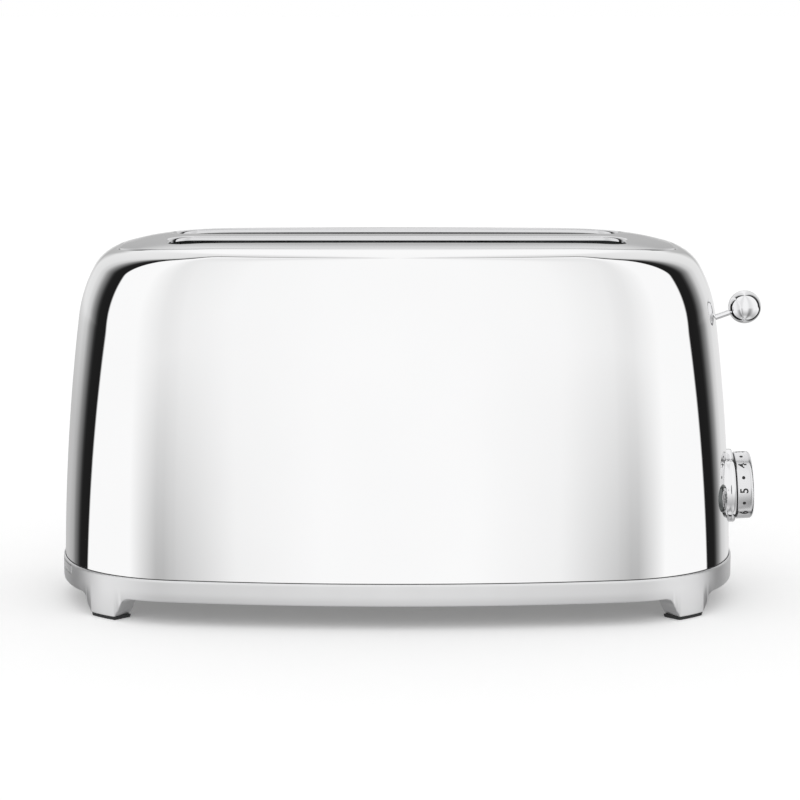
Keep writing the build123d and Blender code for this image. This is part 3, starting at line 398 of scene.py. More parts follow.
STEEL = metal("mirror_steel", (0.975, 0.975, 0.978), 0.015, 0.035)
PLATE_STEEL = metal("plate_steel", (0.74, 0.74, 0.75), 0.06, 0.11, (1, 14, 14), 40.0)
RING_METAL = metal("satin_ring", (0.88, 0.88, 0.885), 0.38, 0.46)
CHROME = metal("bright_chrome", (0.92, 0.92, 0.93), 0.02, 0.05)
SATIN = metal("satin_knob", (0.84, 0.84, 0.85), 0.16, 0.26, (14, 1, 1), 220.0, 0.05)
# Dark metal of the button trim; the same colour on the slot walls is painted shade
SMOKED_TRIM_AND_SLOT_SHADE = metal("smoked_trim_and_slot_shade", (0.16, 0.17, 0.17), 0.16, 0.28)
SHEET_STEEL = metal("galvanised_sheet", (0.30, 0.30, 0.295), 0.30, 0.48, (1, 1, 1), 90.0, 0.1)
WIRE_STEEL = metal("drawn_wire", (0.70, 0.69, 0.68), 0.22, 0.34, (1, 8, 8), 120.0)
RIBBON = metal("heater_ribbon", (0.34, 0.30, 0.27), 0.40, 0.55)
MICA = plain("mica_sheet", (0.44, 0.39, 0.30), 0.42, 0.18, 120.0)
# Black of the plastic parts; the same black in the seam strip and the dial's gap ring is painted shade
BLACK_PLASTIC_AND_GAP_SHADE = plain("black_plastic", (0.018, 0.018, 0.019), 0.45, 0.25, 900.0)
RUBBER = plain("pad_rubber", (0.025, 0.025, 0.026), 0.75, 0.25, 700.0)
COPPER = metal("copper_winding", (0.62, 0.30, 0.16), 0.25, 0.4, (1, 1, 40), 60.0, 0.2)
LAMINATE = plain("board_laminate", (0.03, 0.16, 0.07), 0.35, 0.15, 160.0)
INK = plain("dial_ink", (0.012, 0.012, 0.012), 0.5, 0.2, 800.0)
TRAY_STEEL = metal("tray_steel", (0.80, 0.80, 0.81), 0.18, 0.28, (1, 10, 1), 120.0, 0.05)

SLOT_MATERIALS = {
    "polished_steel": STEEL, "plate_steel": PLATE_STEEL, "chromed_trim": CHROME, "satin_trim": SATIN,
    "galvanised": SHEET_STEEL, "spring_steel": WIRE_STEEL, "mica": MICA, "ribbon": RIBBON,
    "black_plastic": BLACK_PLASTIC_AND_GAP_SHADE, "pad_rubber": RUBBER, "copper_coil": COPPER,
    "board_laminate": LAMINATE, "zinc_screw": SHEET_STEEL,
}


def dress_nodes():
    """Gives every carried-over CAD node the finish of its own material slot."""
    for part in frame["record"]["subparts"]:
        node = NODES[part["node"]]
        node.data.materials.clear()
        node.data.materials.append(SLOT_MATERIALS[part["material_slot"]])
    NODES["crumb_tray"].data.materials[0] = TRAY_STEEL


# Drawn shell

SHELL_START = 23.3
WALL_LEVELS = 44
SHOULDER_LEVELS = 40
OPENING_EDGE = 0.3
LIP = [(0.0, 0.0), (0.7, 0.12), (1.2, 0.45), (1.45, 0.95), (1.5, 1.6), (1.5, 6.0)]


def opening_height(opening, kind, share):
    """Height at which a column of the shell runs into the plate's opening."""
    low, high = 190.0, EASE_START
    for _ in range(30):
        middle = (low + high) / 2
        x, y, _, _ = plan_at(middle).point(kind, share)
        if opening.outside(x, y) > 0:
            low = middle
        else:
            high = middle
    return low


def make_shell():
    slot_half = LEVER_SLOT_WIDTH / 2
    quarter = [("end", 0.0), ("across", slot_half)]
    quarter += quarter_columns(14, 26, 40)[3:]
    places = all_round(quarter)
    wide = LIP[-1][0] + OPENING_EDGE
    opening = Plan(PLATE_HALF_LENGTH, PLATE_HALF_DEPTH, PLATE_RADII, wide)
    shoulder = LEVER_SLOT_TOP
    fixed = [SHELL_START + (LEVER_SLOT_BOTTOM - SHELL_START) * step / 14 for step in range(14)]
    fixed += [LEVER_SLOT_BOTTOM + (shoulder - LEVER_SLOT_BOTTOM) * step / 30 for step in range(30)]
    slot_rows = range(14, 44)
    columns = []
    for kind, share, sign_x, sign_y in places:
        top = opening_height(opening, kind, share)
        heights = list(fixed)
        for step in range(SHOULDER_LEVELS + 1):
            turn = step / SHOULDER_LEVELS
            heights.append(shoulder + (top - shoulder) * (1 - (1 - turn) ** 1.8))
        column = []
        for z in heights:
            x, y, _, _ = plan_at(z).point(kind, share)
            column.append((x * sign_x, y * sign_y, z))
        x, y, _, _ = plan_at(top).point(kind, share)
        inward = inward_direction(opening, x, y)
        for inwards, down in LIP[1:]:
            column.append(((x + inward[0] * inwards) * sign_x, (y + inward[1] * inwards) * sign_y, top - down))
        columns.append(column)
    rows = len(columns[0])
    points = [to_frame(*columns[c][r]) for r in range(rows) for c in range(len(columns))]
    last = len(columns) - 1

    def keep(row, column):
        return not (row in slot_rows and column in (0, last))

    faces = grid_faces(rows, len(columns), True, keep)
    shell = new_piece("shell_skin", points, faces, "chassis", STEEL, 50.0)
    thick = shell.modifiers.new("sheet", "SOLIDIFY")
    thick.thickness = SHEET * MM
    thick.offset = -1.0
    cutters = [drill(shell, surface_frame(side * BUTTON_Y, BUTTON_Z), BUTTON_HOLE) for side in (-1, 1)]
    bake_modifiers(shell)
    for cutter in cutters:
        bpy.data.objects.remove(cutter)
    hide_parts("outer_shell")
    return shell


def drill(piece, placing, radius, reach=6.0, sides=64):
    """Cuts a round hole square to the surface at a placing; the cutter goes once it is baked."""
    turns = [2 * pi * step / sides for step in range(sides)]
    points = [
        placing @ Vector((radius * cos(turn) * MM, radius * sin(turn) * MM, end * reach * MM))
        for end in (-1, 1) for turn in turns
    ]
    faces = [tuple(reversed(range(sides))), tuple(range(sides, 2 * sides))]
    for step in range(sides):
        following = (step + 1) % sides
        faces.append((step, following, sides + following, sides + step))
    mesh = bpy.data.meshes.new("cutter")
    mesh.from_pydata(points, [], faces)
    cutter = bpy.data.objects.new("cutter", mesh)
    bpy.context.scene.collection.objects.link(cutter)
    cut = piece.modifiers.new("hole", "BOOLEAN")
    cut.operation, cut.solver, cut.object = "DIFFERENCE", "EXACT", cutter
    return cutter


# Black strip that paints the shade of the narrow gap between the shell and the ring
SEAM_SHADE_PROUD, SEAM_SHADE_LOW, SEAM_SHADE_HIGH = 0.07, 0.3, 0.4


def make_seal():
    """Black strip of painted shade in the gap where the shell stands in the ring."""
    places = all_round(quarter_columns(14, 26, 40))
    low, high = RING_TOP - SEAM_SHADE_LOW, RING_TOP + SEAM_SHADE_HIGH
    points = []
    for z, proud in ((low, 0.0), (low, SEAM_SHADE_PROUD), (high, SEAM_SHADE_PROUD), (high, 0.0)):
        plan = plan_at(z)
        for kind, share, sign_x, sign_y in places:
            x, y, _, _ = plan.point(kind, share, proud)
            points.append(to_frame(x * sign_x, y * sign_y, z))
    faces = grid_faces(4, len(places))
    return new_piece("seam_painted_shade", points, faces, "chassis", BLACK_PLASTIC_AND_GAP_SHADE)


def bake_modifiers(piece, smooth_degrees=50.0):
    """Replaces the mesh by its modified form, with sharp edges marked again."""
    bpy.context.view_layer.update()
    evaluated = piece.evaluated_get(bpy.context.evaluated_depsgraph_get())
    mesh = bpy.data.meshes.new_from_object(evaluated)
    piece.modifiers.clear()
    piece.data = mesh
    mesh.shade_smooth()
    mesh.set_sharp_from_angle(angle=radians(smooth_degrees))


def inward_direction(plan, x, y):
    """Unit direction from a point of the first quarter straight in across the outline."""
    step = 0.01
    slope_x = (plan.outside(x + step, y) - plan.outside(x - step, y)) / (2 * step)
    slope_y = (plan.outside(x, y + step) - plan.outside(x, y - step)) / (2 * step)
    size = hypot(slope_x, slope_y)
    return -slope_x / size, -slope_y / size


# Top plate

PLATE_ROLL = [(0.0, 0.0), (0.45, 0.1), (0.75, 0.36), (0.92, 0.75), (1.0, 1.2), (1.0, 5.0)]
SLOT_ROLL = [(0.0, 0.0), (0.7, 0.08), (1.3, 0.35), (1.8, 0.85), (2.15, 1.5), (2.3, 2.3), (2.3, 10.0)]
PLATE_GRID = 2.6


def plate_outline(grow):
    """Closed outline of the plate, as points with their inward directions."""
    plan = Plan(PLATE_HALF_LENGTH, PLATE_HALF_DEPTH, PLATE_RADII, grow)
    outline = []
    for kind, share, sign_x, sign_y in all_round(quarter_columns(12, 22, 34)):
        x, y, out_x, out_y = plan.point(kind, share)
        outline.append((x * sign_x, y * sign_y, -out_x * sign_x, -out_y * sign_y))
    return outline


def slot_outline(centre_y, grow):
    """Closed outline of a bread slot, as points with directions towards its middle."""
    radius = SLOT_CORNER + grow
    half_x, half_y = SLOT_LENGTH / 2 + grow - radius, SLOT_WIDTH / 2 + grow - radius
    outline = []
    arc_steps, long_steps, short_steps = 12, 70, 4
    corners = [(half_x, half_y, 0), (-half_x, half_y, 90), (-half_x, -half_y, 180), (half_x, -half_y, 270)]
    for index, (corner_x, corner_y, start) in enumerate(corners):
        for step in range(arc_steps + 1):
            turn = radians(start + 90 * step / arc_steps)
            out_x, out_y = cos(turn), sin(turn)
            outline.append((corner_x + radius * out_x, centre_y + corner_y + radius * out_y, -out_x, -out_y))
        next_x, next_y, _ = corners[(index + 1) % 4]
        steps = long_steps if index % 2 == 0 else short_steps
        for step in range(1, steps):
            share = step / steps
            x = corner_x + (next_x - corner_x) * share + radius * out_x
            y = corner_y + (next_y - corner_y) * share + radius * out_y
            outline.append((x, centre_y + y, -out_x, -out_y))
    return outline


def inside_slot(x, y, grow):
    """True within a bread slot grown by a margin."""
    for centre_y in (-SLOT_PITCH / 2, SLOT_PITCH / 2):
        radius = SLOT_CORNER + grow
        over_x = max(abs(x) - (SLOT_LENGTH / 2 + grow - radius), 0)
        over_y = max(abs(y - centre_y) - (SLOT_WIDTH / 2 + grow - radius), 0)
        if hypot(over_x, over_y) < radius:
            return True
    return False


def make_top_plate():
    slot_grow = SLOT_ROLL[-1][0]
    edge_grow = -PLATE_ROLL[-1][0]
    outer = plate_outline(edge_grow)
    holes = [slot_outline(y, slot_grow) for y in (-SLOT_PITCH / 2, SLOT_PITCH / 2)]
    flat = [Vector(point[:2]) for point in outer]
    loops = [list(range(len(flat)))]
    for hole in holes:
        start = len(flat)
        flat += [Vector(point[:2]) for point in hole]
        loops.append(list(range(start, len(flat))))
    plan = Plan(PLATE_HALF_LENGTH, PLATE_HALF_DEPTH, PLATE_RADII, edge_grow)
    count_x = int(PLATE_HALF_LENGTH / PLATE_GRID)
    count_y = int(PLATE_HALF_DEPTH / PLATE_GRID)
    for index_x in range(-count_x, count_x + 1):
        for index_y in range(-count_y, count_y + 1):
            x, y = index_x * PLATE_GRID, index_y * PLATE_GRID
            if plan.outside(x, y) < -PLATE_GRID / 2 and not inside_slot(x, y, slot_grow + PLATE_GRID / 2):
                flat.append(Vector((x, y)))
    edges = [(loop[i], loop[(i + 1) % len(loop)]) for loop in loops for i in range(len(loop))]
    spots, _, triangles, origins, _, _ = delaunay_2d_cdt(flat, edges, [], 0, 1e-4)
    points = [to_frame(p.x, p.y, surface_height(p.x, p.y)) for p in spots]
    faces = []
    for triangle in triangles:
        x = sum(spots[i].x for i in triangle) / 3
        y = sum(spots[i].y for i in triangle) / 3
        if plan.outside(x, y) < 0 and not inside_slot(x, y, slot_grow):
            faces.append(tuple(triangle))
    where = {}
    for new_index, olds in enumerate(origins):
        for old in olds:
            where[old] = new_index
    for loop, outline, roll, turn in (
        (loops[0], outer, PLATE_ROLL, -1),
        (loops[1], holes[0], SLOT_ROLL[:-1], 1), (loops[2], holes[1], SLOT_ROLL[:-1], 1),
    ):
        previous = [where[i] for i in loop]
        for inwards, down in roll[1:]:
            current = []
            for x, y, in_x, in_y in outline:
                current.append(len(points))
                way = inwards * turn
                points.append(to_frame(x + in_x * way, y + in_y * way, surface_height(x, y) - down))
            for i in range(len(loop)):
                j = (i + 1) % len(loop)
                quad = (previous[i], previous[j], current[j], current[i])
                faces.append(quad)
            previous = current
    plate = new_piece("plate_skin", points, faces, "chassis", PLATE_STEEL, 50.0)
    face_up(plate)
    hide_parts("top_plate")
    make_throats(holes)
    return plate


def make_throats(holes):
    """Dark walls that go down from the rolled rims of the slots: painted shade for the deep inside of the slots."""
    (inwards, start), (_, end) = SLOT_ROLL[-2:]
    points, faces = [], []
    for outline in holes:
        first, count = len(points), len(outline)
        for down in (start, end):
            for x, y, in_x, in_y in outline:
                spot = (x + in_x * inwards, y + in_y * inwards, surface_height(x, y) - down)
                points.append(to_frame(*spot))
        faces += [tuple(first + i for i in quad) for quad in grid_faces(2, count)]
    shade_walls = new_piece("slot_walls_painted_shade", points, faces, "chassis", SMOKED_TRIM_AND_SLOT_SHADE, 50.0)
    face_up(shade_walls)


def face_up(piece):
    """Makes all faces of a piece look outwards."""
    import bmesh
    work = bmesh.new()
    work.from_mesh(piece.data)
    bmesh.ops.recalc_face_normals(work, faces=work.faces)
    work.to_mesh(piece.data)
    work.free()


# Base ring with its feet

FOOT_ANGLE = 47.0
FOOT_DEPTH = 13.0
PAD_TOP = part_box("foot_pad_front_left")[1][2] / MM
RING_BOTTOM = 12.7
SHELF_BOTTOM = 14.7
SHELF_TOP = 17.0
SHELF_WIDTH = 9.0
RING_WALL = 0.8
END_DROP = 0.9
SKIRT_WALL = 2.3
NOTCH_HALF = 45.3
NOTCH_LOW, NOTCH_HIGH = 18.2, 23.3
FOOT_SIDE = [
    (9.0, PAD_TOP), (9.6, PAD_TOP + 0.15), (10.0, PAD_TOP + 0.6), (10.3, PAD_TOP + 1.3), (12.2, 5.4),
    (13.9, 8.8), (14.7, 10.2), (15.6, 11.3), (16.8, 12.1), (18.4, 12.6), (19.4, RING_BOTTOM),
]


def foot_floor(aside):
    """Height of the ring's lower edge at a distance from the middle of a foot."""
    aside = abs(aside)
    if aside <= FOOT_SIDE[0][0]:
        return PAD_TOP
    for (near, low), (far, high) in zip(FOOT_SIDE, FOOT_SIDE[1:]):
        if aside <= far:
            return low + (high - low) * (aside - near) / (far - near)
    return RING_BOTTOM


def make_base_ring():
    plan = Plan(RING_HALF_LENGTH, RING_HALF_DEPTH, (END_RADIUS, CORNER_RADIUS, FRONT_RADIUS))
    foot_turns = []
    for aside, _ in FOOT_SIDE:
        for side in (-1, 1):
            foot_turns.append(radians(FOOT_ANGLE) + side * asin(aside / plan.corner_radius))
    for step in range(-5, 6):
        foot_turns.append(radians(FOOT_ANGLE) + asin(step * 1.7 / plan.corner_radius))
    for step in range(1, 8):
        low, high = min(foot_turns[:22]), max(foot_turns[:22])
        foot_turns.append(plan.end_turn + (low - plan.end_turn) * step / 8)
        foot_turns.append(high + (plan.front_turn - high) * step / 8)
    quarter = [("end", step / 16) for step in range(16)]
    quarter = [place for place in quarter if place[1] * plan.end_turn < asin(NOTCH_HALF / plan.end_radius)]
    quarter.append(("across", NOTCH_HALF))
    quarter.append(("end", 1.0))
    quarter += [("turn", turn) for turn in sorted(foot_turns)]
    quarter += [("front", step / 40) for step in range(41)]
    places = all_round(quarter)
    rows = []
    names = ("top_in", "top", "edge", "wall", "notch_high", "notch_low", "foot", "round", "under",
             "inner_low", "inner_shelf", "shelf_under", "shelf_edge", "shelf_top", "wall_low",
             "in_notch_low", "in_notch_high", "wall_in")
    for kind, share, sign_x, sign_y in places:
        turn = share if kind == "turn" else None
        aside = plan.corner_radius * sin(turn - radians(FOOT_ANGLE)) if turn else FAR_ASIDE
        floor = foot_floor(aside)
        if kind in ("end", "across") or aside < 0:
            floor -= END_DROP * (floor - PAD_TOP) / (RING_BOTTOM - PAD_TOP)
        depth = FOOT_DEPTH if abs(aside) < FOOT_SIDE[-1][0] - 0.01 else SKIRT_WALL
        shelf = max(SHELF_WIDTH, depth)
        section = [
            (RING_WALL, RING_TOP), (0.5, RING_TOP), (0.1, RING_TOP - 0.42), (0.0, RING_TOP - 0.7),
            (0.0, NOTCH_HIGH), (0.0, NOTCH_LOW), (0.0, floor + 0.9), (0.2, floor + 0.25), (0.8, floor),
            (depth, floor), (depth, SHELF_BOTTOM), (shelf, SHELF_BOTTOM), (shelf, SHELF_BOTTOM + 0.01),
            (shelf, SHELF_TOP), (RING_WALL, SHELF_TOP), (RING_WALL, NOTCH_LOW), (RING_WALL, NOTCH_HIGH),
            (RING_WALL, RING_TOP),
        ]
        column = []
        for inset, z in section:
            x, y, _, _ = plan.point(kind, share, -inset)
            column.append(to_frame(x * sign_x, y * sign_y, z))
        rows.append(column)
    count = len(rows[0])
    points = [rows[c][r] for r in range(count) for c in range(len(rows))]
    columns = len(rows)
    outer_notch, inner_notch = names.index("notch_high"), names.index("in_notch_low")

    def in_notch(column):
        ahead = places[column], places[(column + 1) % columns]
        return all(sx < 0 and (kind == "end" and share < 0.95 or kind == "across") for kind, share, sx, sy in ahead)

    def keep(row, column):
        return not (row in (outer_notch, inner_notch) and in_notch(column))

    faces = grid_faces(count, columns, True, keep)
    inner_high = names.index("in_notch_high")
    for column in range(columns):
        if in_notch(column):
            following = (column + 1) % columns
            for outer_row, inner_row in ((outer_notch, inner_high), (outer_notch + 1, inner_notch)):
                faces.append((outer_row * columns + column, outer_row * columns + following,
                              inner_row * columns + following, inner_row * columns + column))
    ring = new_piece("ring_skin", points, faces, "chassis", RING_METAL, 28.0)
    weld(ring)
    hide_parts("base_ring")
    return ring


FAR_ASIDE = 1000.0


def weld(piece, distance=0.00001, smooth_degrees=28.0):
    """Joins points that lie together and turns all faces outwards."""
    import bmesh
    work = bmesh.new()
    work.from_mesh(piece.data)
    bmesh.ops.remove_doubles(work, verts=work.verts, dist=distance)
    bmesh.ops.dissolve_degenerate(work, edges=work.edges, dist=distance)
    bmesh.ops.recalc_face_normals(work, faces=work.faces)
    work.to_mesh(piece.data)
    work.free()
    piece.data.shade_smooth()
    piece.data.set_sharp_from_angle(angle=radians(smooth_degrees))


# Lever

BALL_MARGIN = 0.02


def make_lever():
    low, high = (Vector(corner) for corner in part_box("lever_ball"))
    centre = (low + high) / 2
    radius = min(high - low) / 2 / MM - BALL_MARGIN
    outline = [(radius * sin(pi * step / 48), -radius * cos(pi * step / 48)) for step in range(49)]
    outline[0], outline[-1] = (0.0, -radius), (0.0, radius)
    ball = lathe("lever_knob", outline, 96, Matrix.Translation(centre), "carriage", CHROME, 180.0)
    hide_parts("lever_ball")
    return ball


# Dial and buttons

DIAL_Z = 60.4
DIAL_SETTINGS = 6
DIAL_FIRST_TURN = 179.5
DIAL_STEP = 45.0
DIGIT_HEIGHT = 4.6
DIGIT_BOLDNESS = 0.13
DOT_RADIUS = 0.95


def surface_frame(y, z):
    """Matrix on the +X end of the body whose Z points straight out of its surface."""
    plan = plan_at(z)
    turn = atan2(y, sqrt(plan.end_radius**2 - y**2))
    wall_centre, wall_radius, _ = END_PROFILE[0]
    rise = (z - wall_centre[1]) / wall_radius
    flat = sqrt(1 - rise**2)
    outward = Vector((flat * cos(turn), flat * sin(turn), rise))
    sideways = Vector((-sin(turn), cos(turn), 0))
    upward = outward.cross(sideways)
    x = plan.end[0] + sqrt(plan.end_radius**2 - y**2)
    matrix = Matrix((sideways, upward, outward)).transposed().to_4x4()
    return Matrix.Translation(to_frame(x, y, z)) @ matrix


def make_dial():
    placing = surface_frame(0.0, DIAL_Z)
    start, length, radius = 4.4, 9.2, 19.0
    end = start + length
    outline = [(16.4, start + 5.0), (16.4, start), (18.7, start)]
    outline += [(radius, start + 0.3)]
    outline += [(radius, end - 2.2)]
    for step in range(1, 9):
        turn = pi / 2 * step / 8
        outline.append((radius - 2.2 + 2.2 * cos(turn), end - 2.2 + 2.2 * sin(turn)))
    outline += [(15.4, end), (15.0, end - 0.12), (14.6, end - 0.45), (14.0, end - 0.5), (0.0, end - 0.5)]
    knob = lathe("dial_knob", outline, 144, placing, "dial", SATIN, 30.0)
    hub = lathe("dial_hub", [(6.5, start + 5.0), (6.5, 3.7), (3.0, 3.7), (3.0, 9.0)], 48, placing, "dial", SATIN)
    back = lathe("dial_back", [(16.4, start + 5.0), (6.5, start + 5.0)], 96, placing, "dial", SATIN)
    # Black ring set back under the knob's rim: painted shade for the gap between the knob and its bezel
    gap_shade_outline = [(16.6, start), (16.6, start - 0.75), (18.2, start - 0.75), (18.2, start)]
    gap_shade = lathe("dial_gap_painted_shade", gap_shade_outline, 144, placing, "dial", BLACK_PLASTIC_AND_GAP_SHADE, 30.0)
    back.parent, hub.parent, gap_shade.parent = knob, knob, knob
    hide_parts("dial")
    middle = start + (length - 2.2) / 2
    for setting in range(1, DIAL_SETTINGS + 1):
        turn = DIAL_FIRST_TURN - DIAL_STEP * (setting - 1)
        add_digit(str(setting), placing, radius, middle, turn)
        if setting < DIAL_SETTINGS:
            add_dot(placing, radius, middle, turn - DIAL_STEP / 2, f"dial_dot_{setting}")
    return knob


def on_rim(placing, radius, along, turn):
    """Point on the dial's rim; turn is in degrees from the front side upwards."""
    angle = radians(turn)
    return placing @ Vector((-radius * cos(angle) * MM, radius * sin(angle) * MM, along * MM))


def add_digit(text, placing, radius, middle, turn):
    """Digit laid round the rim, its top towards the body."""
    curve = bpy.data.curves.new("digit", "FONT")
    curve.body = text
    curve.size = DIGIT_HEIGHT * 1.4
    curve.offset = DIGIT_BOLDNESS
    curve.align_x, curve.align_y = "CENTER", "CENTER"
    curve.resolution_u = 6
    holder = bpy.data.objects.new("digit", curve)
    bpy.context.scene.collection.objects.link(holder)
    bpy.context.view_layer.update()
    flat = bpy.data.meshes.new_from_object(holder.evaluated_get(bpy.context.evaluated_depsgraph_get()))
    bpy.data.objects.remove(holder)
    centre_x = (min(v.co.x for v in flat.vertices) + max(v.co.x for v in flat.vertices)) / 2
    centre_y = (min(v.co.y for v in flat.vertices) + max(v.co.y for v in flat.vertices)) / 2
    lift = 0.05
    points = []
    for vertex in flat.vertices:
        across = (vertex.co.x - centre_x) / radius * 180 / pi
        points.append(on_rim(placing, radius + lift, middle - (vertex.co.y - centre_y), turn + across))
    faces = [tuple(face.vertices) for face in flat.polygons]
    return new_piece(f"dial_digit_{text}", points, faces, "dial", INK)


def add_dot(placing, radius, middle, turn, name):
    lift = 0.05
    steps = 20
    points = [on_rim(placing, radius + lift, middle, turn)]
    for step in range(steps):
        angle = 2 * pi * step / steps
        aside = DOT_RADIUS * cos(angle) / radius * 180 / pi
        points.append(on_rim(placing, radius + lift, middle + DOT_RADIUS * sin(angle), turn + aside))
    faces = [(0, 1 + step, 1 + (step + 1) % steps) for step in range(steps)]
    return new_piece(name, points, faces, "dial", INK)


def make_bezel():
    placing = surface_frame(0.0, DIAL_Z)
    outline = [(3.1, -2.0), (3.1, 2.2), (8.0, 2.2), (17.4, 2.2), (17.6, 3.1), (18.0, 3.4), (20.0, 3.4),
               (20.45, 3.25), (20.72, 2.9), (20.8, 2.4), (20.8, 0.6), (20.6, 0.2), (20.3, -3.0)]
    bezel = lathe("dial_ring", outline, 144, placing, "chassis", CHROME, 30.0)
    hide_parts("dial_bezel")
    return bezel


BUTTON_Y, BUTTON_Z = 39.8, 60.1
BUTTON_HOLE = 6.6
BUTTON_RING = [
    (6.05, -1.6), (6.05, 0.7), (6.2, 0.95), (6.5, 1.05), (7.2, 0.9), (7.65, 0.5), (7.8, 0.1), (7.8, -0.3),
    (6.55, -0.3), (6.55, -1.6), (6.05, -1.6),
]
BUTTON_FACE = [(0.0, -2.2), (5.8, -2.2), (5.8, 0.95), (5.6, 1.25), (5.2, 1.42), (3.6, 1.6), (0.0, 1.7)]
ICON_LIFT, ICON_DEPTH, ICON_WIDTH = 1.85, 0.5, 0.5
# Bars of the raised marks, as length, turn in degrees and distance aside: a six-armed star, three bars
BUTTON_ICONS = {
    "front": [(5.6, 0, 0.0), (5.6, 60, 0.0), (5.6, 120, 0.0)],
    "back": [(5.0, 0, 0.0), (3.6, 0, 1.5), (3.6, 0, -1.5)],
}


def make_icon(side, placing):
    """Raised mark on a button, made of straight bars."""
    points, faces = [], []
    for length, degrees, aside in BUTTON_ICONS[side]:
        turn = radians(degrees)
        start = len(points)
        for height in (ICON_LIFT - ICON_DEPTH, ICON_LIFT):
            for along, across in ((-1, -1), (1, -1), (1, 1), (-1, 1)):
                u, v = along * length / 2, across * ICON_WIDTH / 2 + aside
                x, y = u * cos(turn) - v * sin(turn), u * sin(turn) + v * cos(turn)
                points.append(placing @ Vector((x * MM, y * MM, height * MM)))
        faces += [tuple(start + i for i in quad) for quad in (
            (3, 2, 1, 0), (4, 5, 6, 7), (0, 1, 5, 4), (1, 2, 6, 5), (2, 3, 7, 6), (3, 0, 4, 7),
        )]
    return new_piece(f"button_icon_{side}", points, faces, f"button_{side}", SMOKED_TRIM_AND_SLOT_SHADE, 20.0)


def make_buttons():
    for side, way in (("front", -1), ("back", 1)):
        placing = surface_frame(way * BUTTON_Y, BUTTON_Z)
        ring = lathe(f"button_ring_{side}", BUTTON_RING, 72, placing, "chassis", SMOKED_TRIM_AND_SLOT_SHADE, 30.0)
        face = lathe(f"button_face_{side}", BUTTON_FACE, 72, placing, f"button_{side}", SATIN, 30.0)
        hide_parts(f"button_bezel_{side}")
        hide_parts(f"button_cap_{side}")
        make_icon(side, placing)


dress_nodes()
make_shell()
make_seal()
make_top_plate()
make_base_ring()
make_lever()
make_dial()
make_bezel()
make_buttons()


# Floor, light and camera

# Studio round the toaster: brightness by angle from the front, the same to the left and the right.
# A black flag stands beside each end, and a soft grey one lies lower on each side of the front.
HALF_TURN = 180.0
FLAG_STOPS = [
    (0.0, 0.98), (98.0, 0.98), (99.5, 0.012), (112.0, 0.014), (115.0, 0.035), (119.0, 0.13),
    (124.0, 0.27), (131.0, 0.60), (141.0, 0.77), (166.0, 0.82), (174.0, 0.97),
]
FLAG_SWING = 1.3
LOWEST = 12.0
DIP_STOPS = [(8.0, 0.0), (17.0, 0.18), (24.0, 0.85), (30.0, 1.0), (37.0, 1.0), (50.0, 0.5), (62.0, 0.0)]
DIP_DEPTH, DIP_GAIN = 0.15, 0.033
BACK_STOPS = [(-3.0, 1.0), (2.0, 0.52), (12.0, 0.56), (18.0, 1.0)]
BACK_START, BACK_FULL = 158.0, 168.0
LEFT_STOPS = [(-7.0, 0.68), (-1.0, 1.0)]
LEFT_START, LEFT_FULL = 124.0, 138.0
GROUND_STOPS = [(-66.0, 0.80), (-52.0, 0.52), (-40.0, 0.60), (-22.0, 0.86), (-13.0, 1.0)]


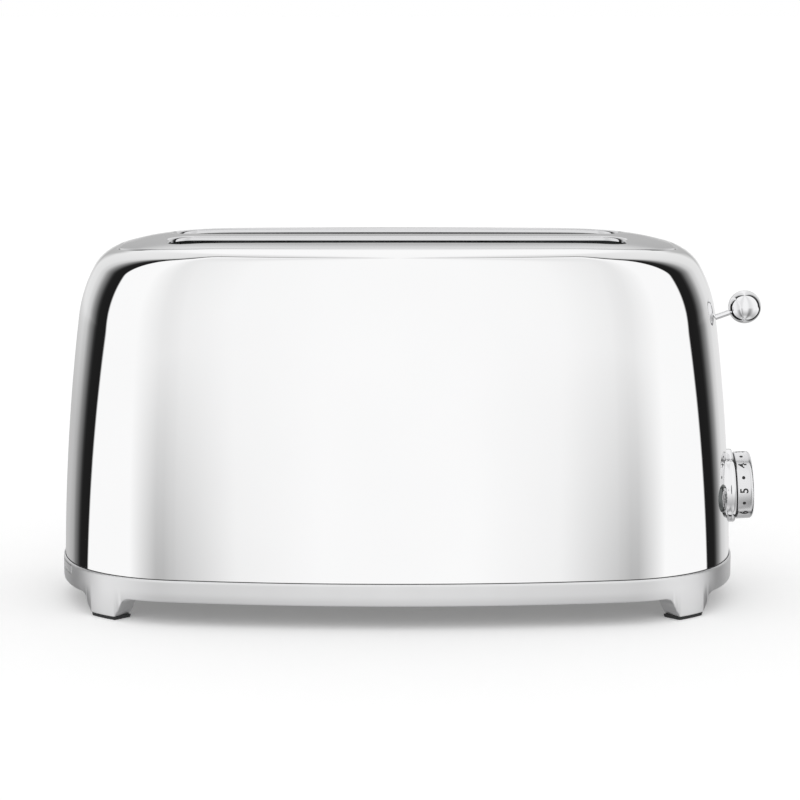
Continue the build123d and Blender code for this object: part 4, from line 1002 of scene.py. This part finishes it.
def make_world():
    world = bpy.data.worlds.new("studio")
    bpy.context.scene.world = world
    world.use_nodes = True
    tree = world.node_tree

    def math(kind, first, second=None, clamp=False):
        node = tree.nodes.new("ShaderNodeMath")
        node.operation, node.use_clamp = kind, clamp
        for socket, value in zip(node.inputs, (first, second)):
            if value is None:
                continue
            if isinstance(value, (int, float)):
                socket.default_value = value
            else:
                tree.links.new(value, socket)
        return node.outputs[0]

    def by_angle(angle, stops, start, reach):
        """Grey of a ramp whose stops are angles in degrees from start over reach."""
        places = [((turn - start) / reach, grey(level)) for turn, level in stops]
        return ramp(tree, math("DIVIDE", math("SUBTRACT", angle, start), reach), places)

    place = tree.nodes.new("ShaderNodeTexCoord")
    parts = tree.nodes.new("ShaderNodeSeparateXYZ")
    tree.links.new(place.outputs["Generated"], parts.inputs["Vector"])
    from_front = math("ARCTAN2", parts.outputs["X"], math("MULTIPLY", parts.outputs["Y"], -1.0))
    swing = math("MULTIPLY", from_front, HALF_TURN / pi)
    round_angle = math("ABSOLUTE", swing)
    height = math("MULTIPLY", math("ARCSINE", parts.outputs["Z"]), HALF_TURN / pi)
    below = math("MINIMUM", math("MAXIMUM", math("MULTIPLY", height, -1.0), 0.0), LOWEST)

    flagged = by_angle(math("SUBTRACT", round_angle, math("MULTIPLY", below, FLAG_SWING)), FLAG_STOPS, 0.0, HALF_TURN)
    dip = by_angle(round_angle, DIP_STOPS, 0.0, HALF_TURN)
    depth = math("ADD", math("MULTIPLY", below, DIP_GAIN), DIP_DEPTH)
    light = math("MULTIPLY", flagged, math("SUBTRACT", 1.0, math("MULTIPLY", dip, depth)))

    behind = by_angle(round_angle, [(BACK_START, 0.0), (BACK_FULL, 1.0)], 0.0, HALF_TURN)
    back_grey = math("SUBTRACT", 1.0, by_angle(height, BACK_STOPS, -90.0, HALF_TURN))
    light = math("MULTIPLY", light, math("SUBTRACT", 1.0, math("MULTIPLY", behind, back_grey)))

    leftward = by_angle(math("MULTIPLY", swing, -1.0), [(LEFT_START, 0.0), (LEFT_FULL, 1.0)], 0.0, HALF_TURN)
    left_grey = math("SUBTRACT", 1.0, by_angle(height, LEFT_STOPS, -90.0, HALF_TURN))
    light = math("MULTIPLY", light, math("SUBTRACT", 1.0, math("MULTIPLY", leftward, left_grey)))

    light = math("MULTIPLY", light, by_angle(height, GROUND_STOPS, -90.0, HALF_TURN))

    path = tree.nodes.new("ShaderNodeLightPath")
    plain_white = math("MAXIMUM", path.outputs["Is Camera Ray"], path.outputs["Is Diffuse Ray"])
    tree.links.new(math("MAXIMUM", light, plain_white), tree.nodes["Background"].inputs["Color"])
    tree.nodes["Background"].inputs["Strength"].default_value = 1.0


FLOOR_REACH = 30.0
FLOOR_TONE, FLOOR_GLOW = 0.92, 0.14


def make_floor():
    """White floor that keeps the soft shadow; what the metal mirrors below the horizon is the studio."""
    mesh = bpy.data.meshes.new("floor")
    corners = [(-1, -1), (1, -1), (1, 1), (-1, 1)]
    mesh.from_pydata([(x * FLOOR_REACH, y * FLOOR_REACH, 0) for x, y in corners], [], [(0, 1, 2, 3)])
    floor = bpy.data.objects.new("floor", mesh)
    bpy.context.scene.collection.objects.link(floor)
    material, tree, shader, _ = node_material("floor_white")
    shader.inputs["Base Color"].default_value = (FLOOR_TONE, FLOOR_TONE, FLOOR_TONE, 1.0)
    shader.inputs["Roughness"].default_value = 1.0
    shader.inputs["Specular IOR Level"].default_value = 0.0
    shader.inputs["Emission Color"].default_value = (1.0, 1.0, 1.0, 1.0)
    path = tree.nodes.new("ShaderNodeLightPath")
    glow = tree.nodes.new("ShaderNodeMath")
    glow.operation = "MULTIPLY"
    glow.inputs[1].default_value = FLOOR_GLOW
    tree.links.new(path.outputs["Is Camera Ray"], glow.inputs[0])
    tree.links.new(glow.outputs[0], shader.inputs["Emission Strength"])
    mesh.materials.append(material)
    floor.visible_glossy = False


def make_camera():
    data = bpy.data.cameras.new("camera")
    data.sensor_width = SENSOR
    data.lens = CAMERA_FOCAL_PIXELS / IMAGE_PIXELS * SENSOR
    camera = bpy.data.objects.new("camera", data)
    camera.location = (MIDDLE_X * MM + CAMERA_ASIDE, -CAMERA_DISTANCE, CAMERA_HEIGHT)
    camera.rotation_euler = (radians(90 - CAMERA_TILT), 0, 0)
    bpy.context.scene.collection.objects.link(camera)
    bpy.context.scene.camera = camera


make_world()
make_floor()
make_camera()
bpy.context.scene.view_settings.view_transform = "Standard"
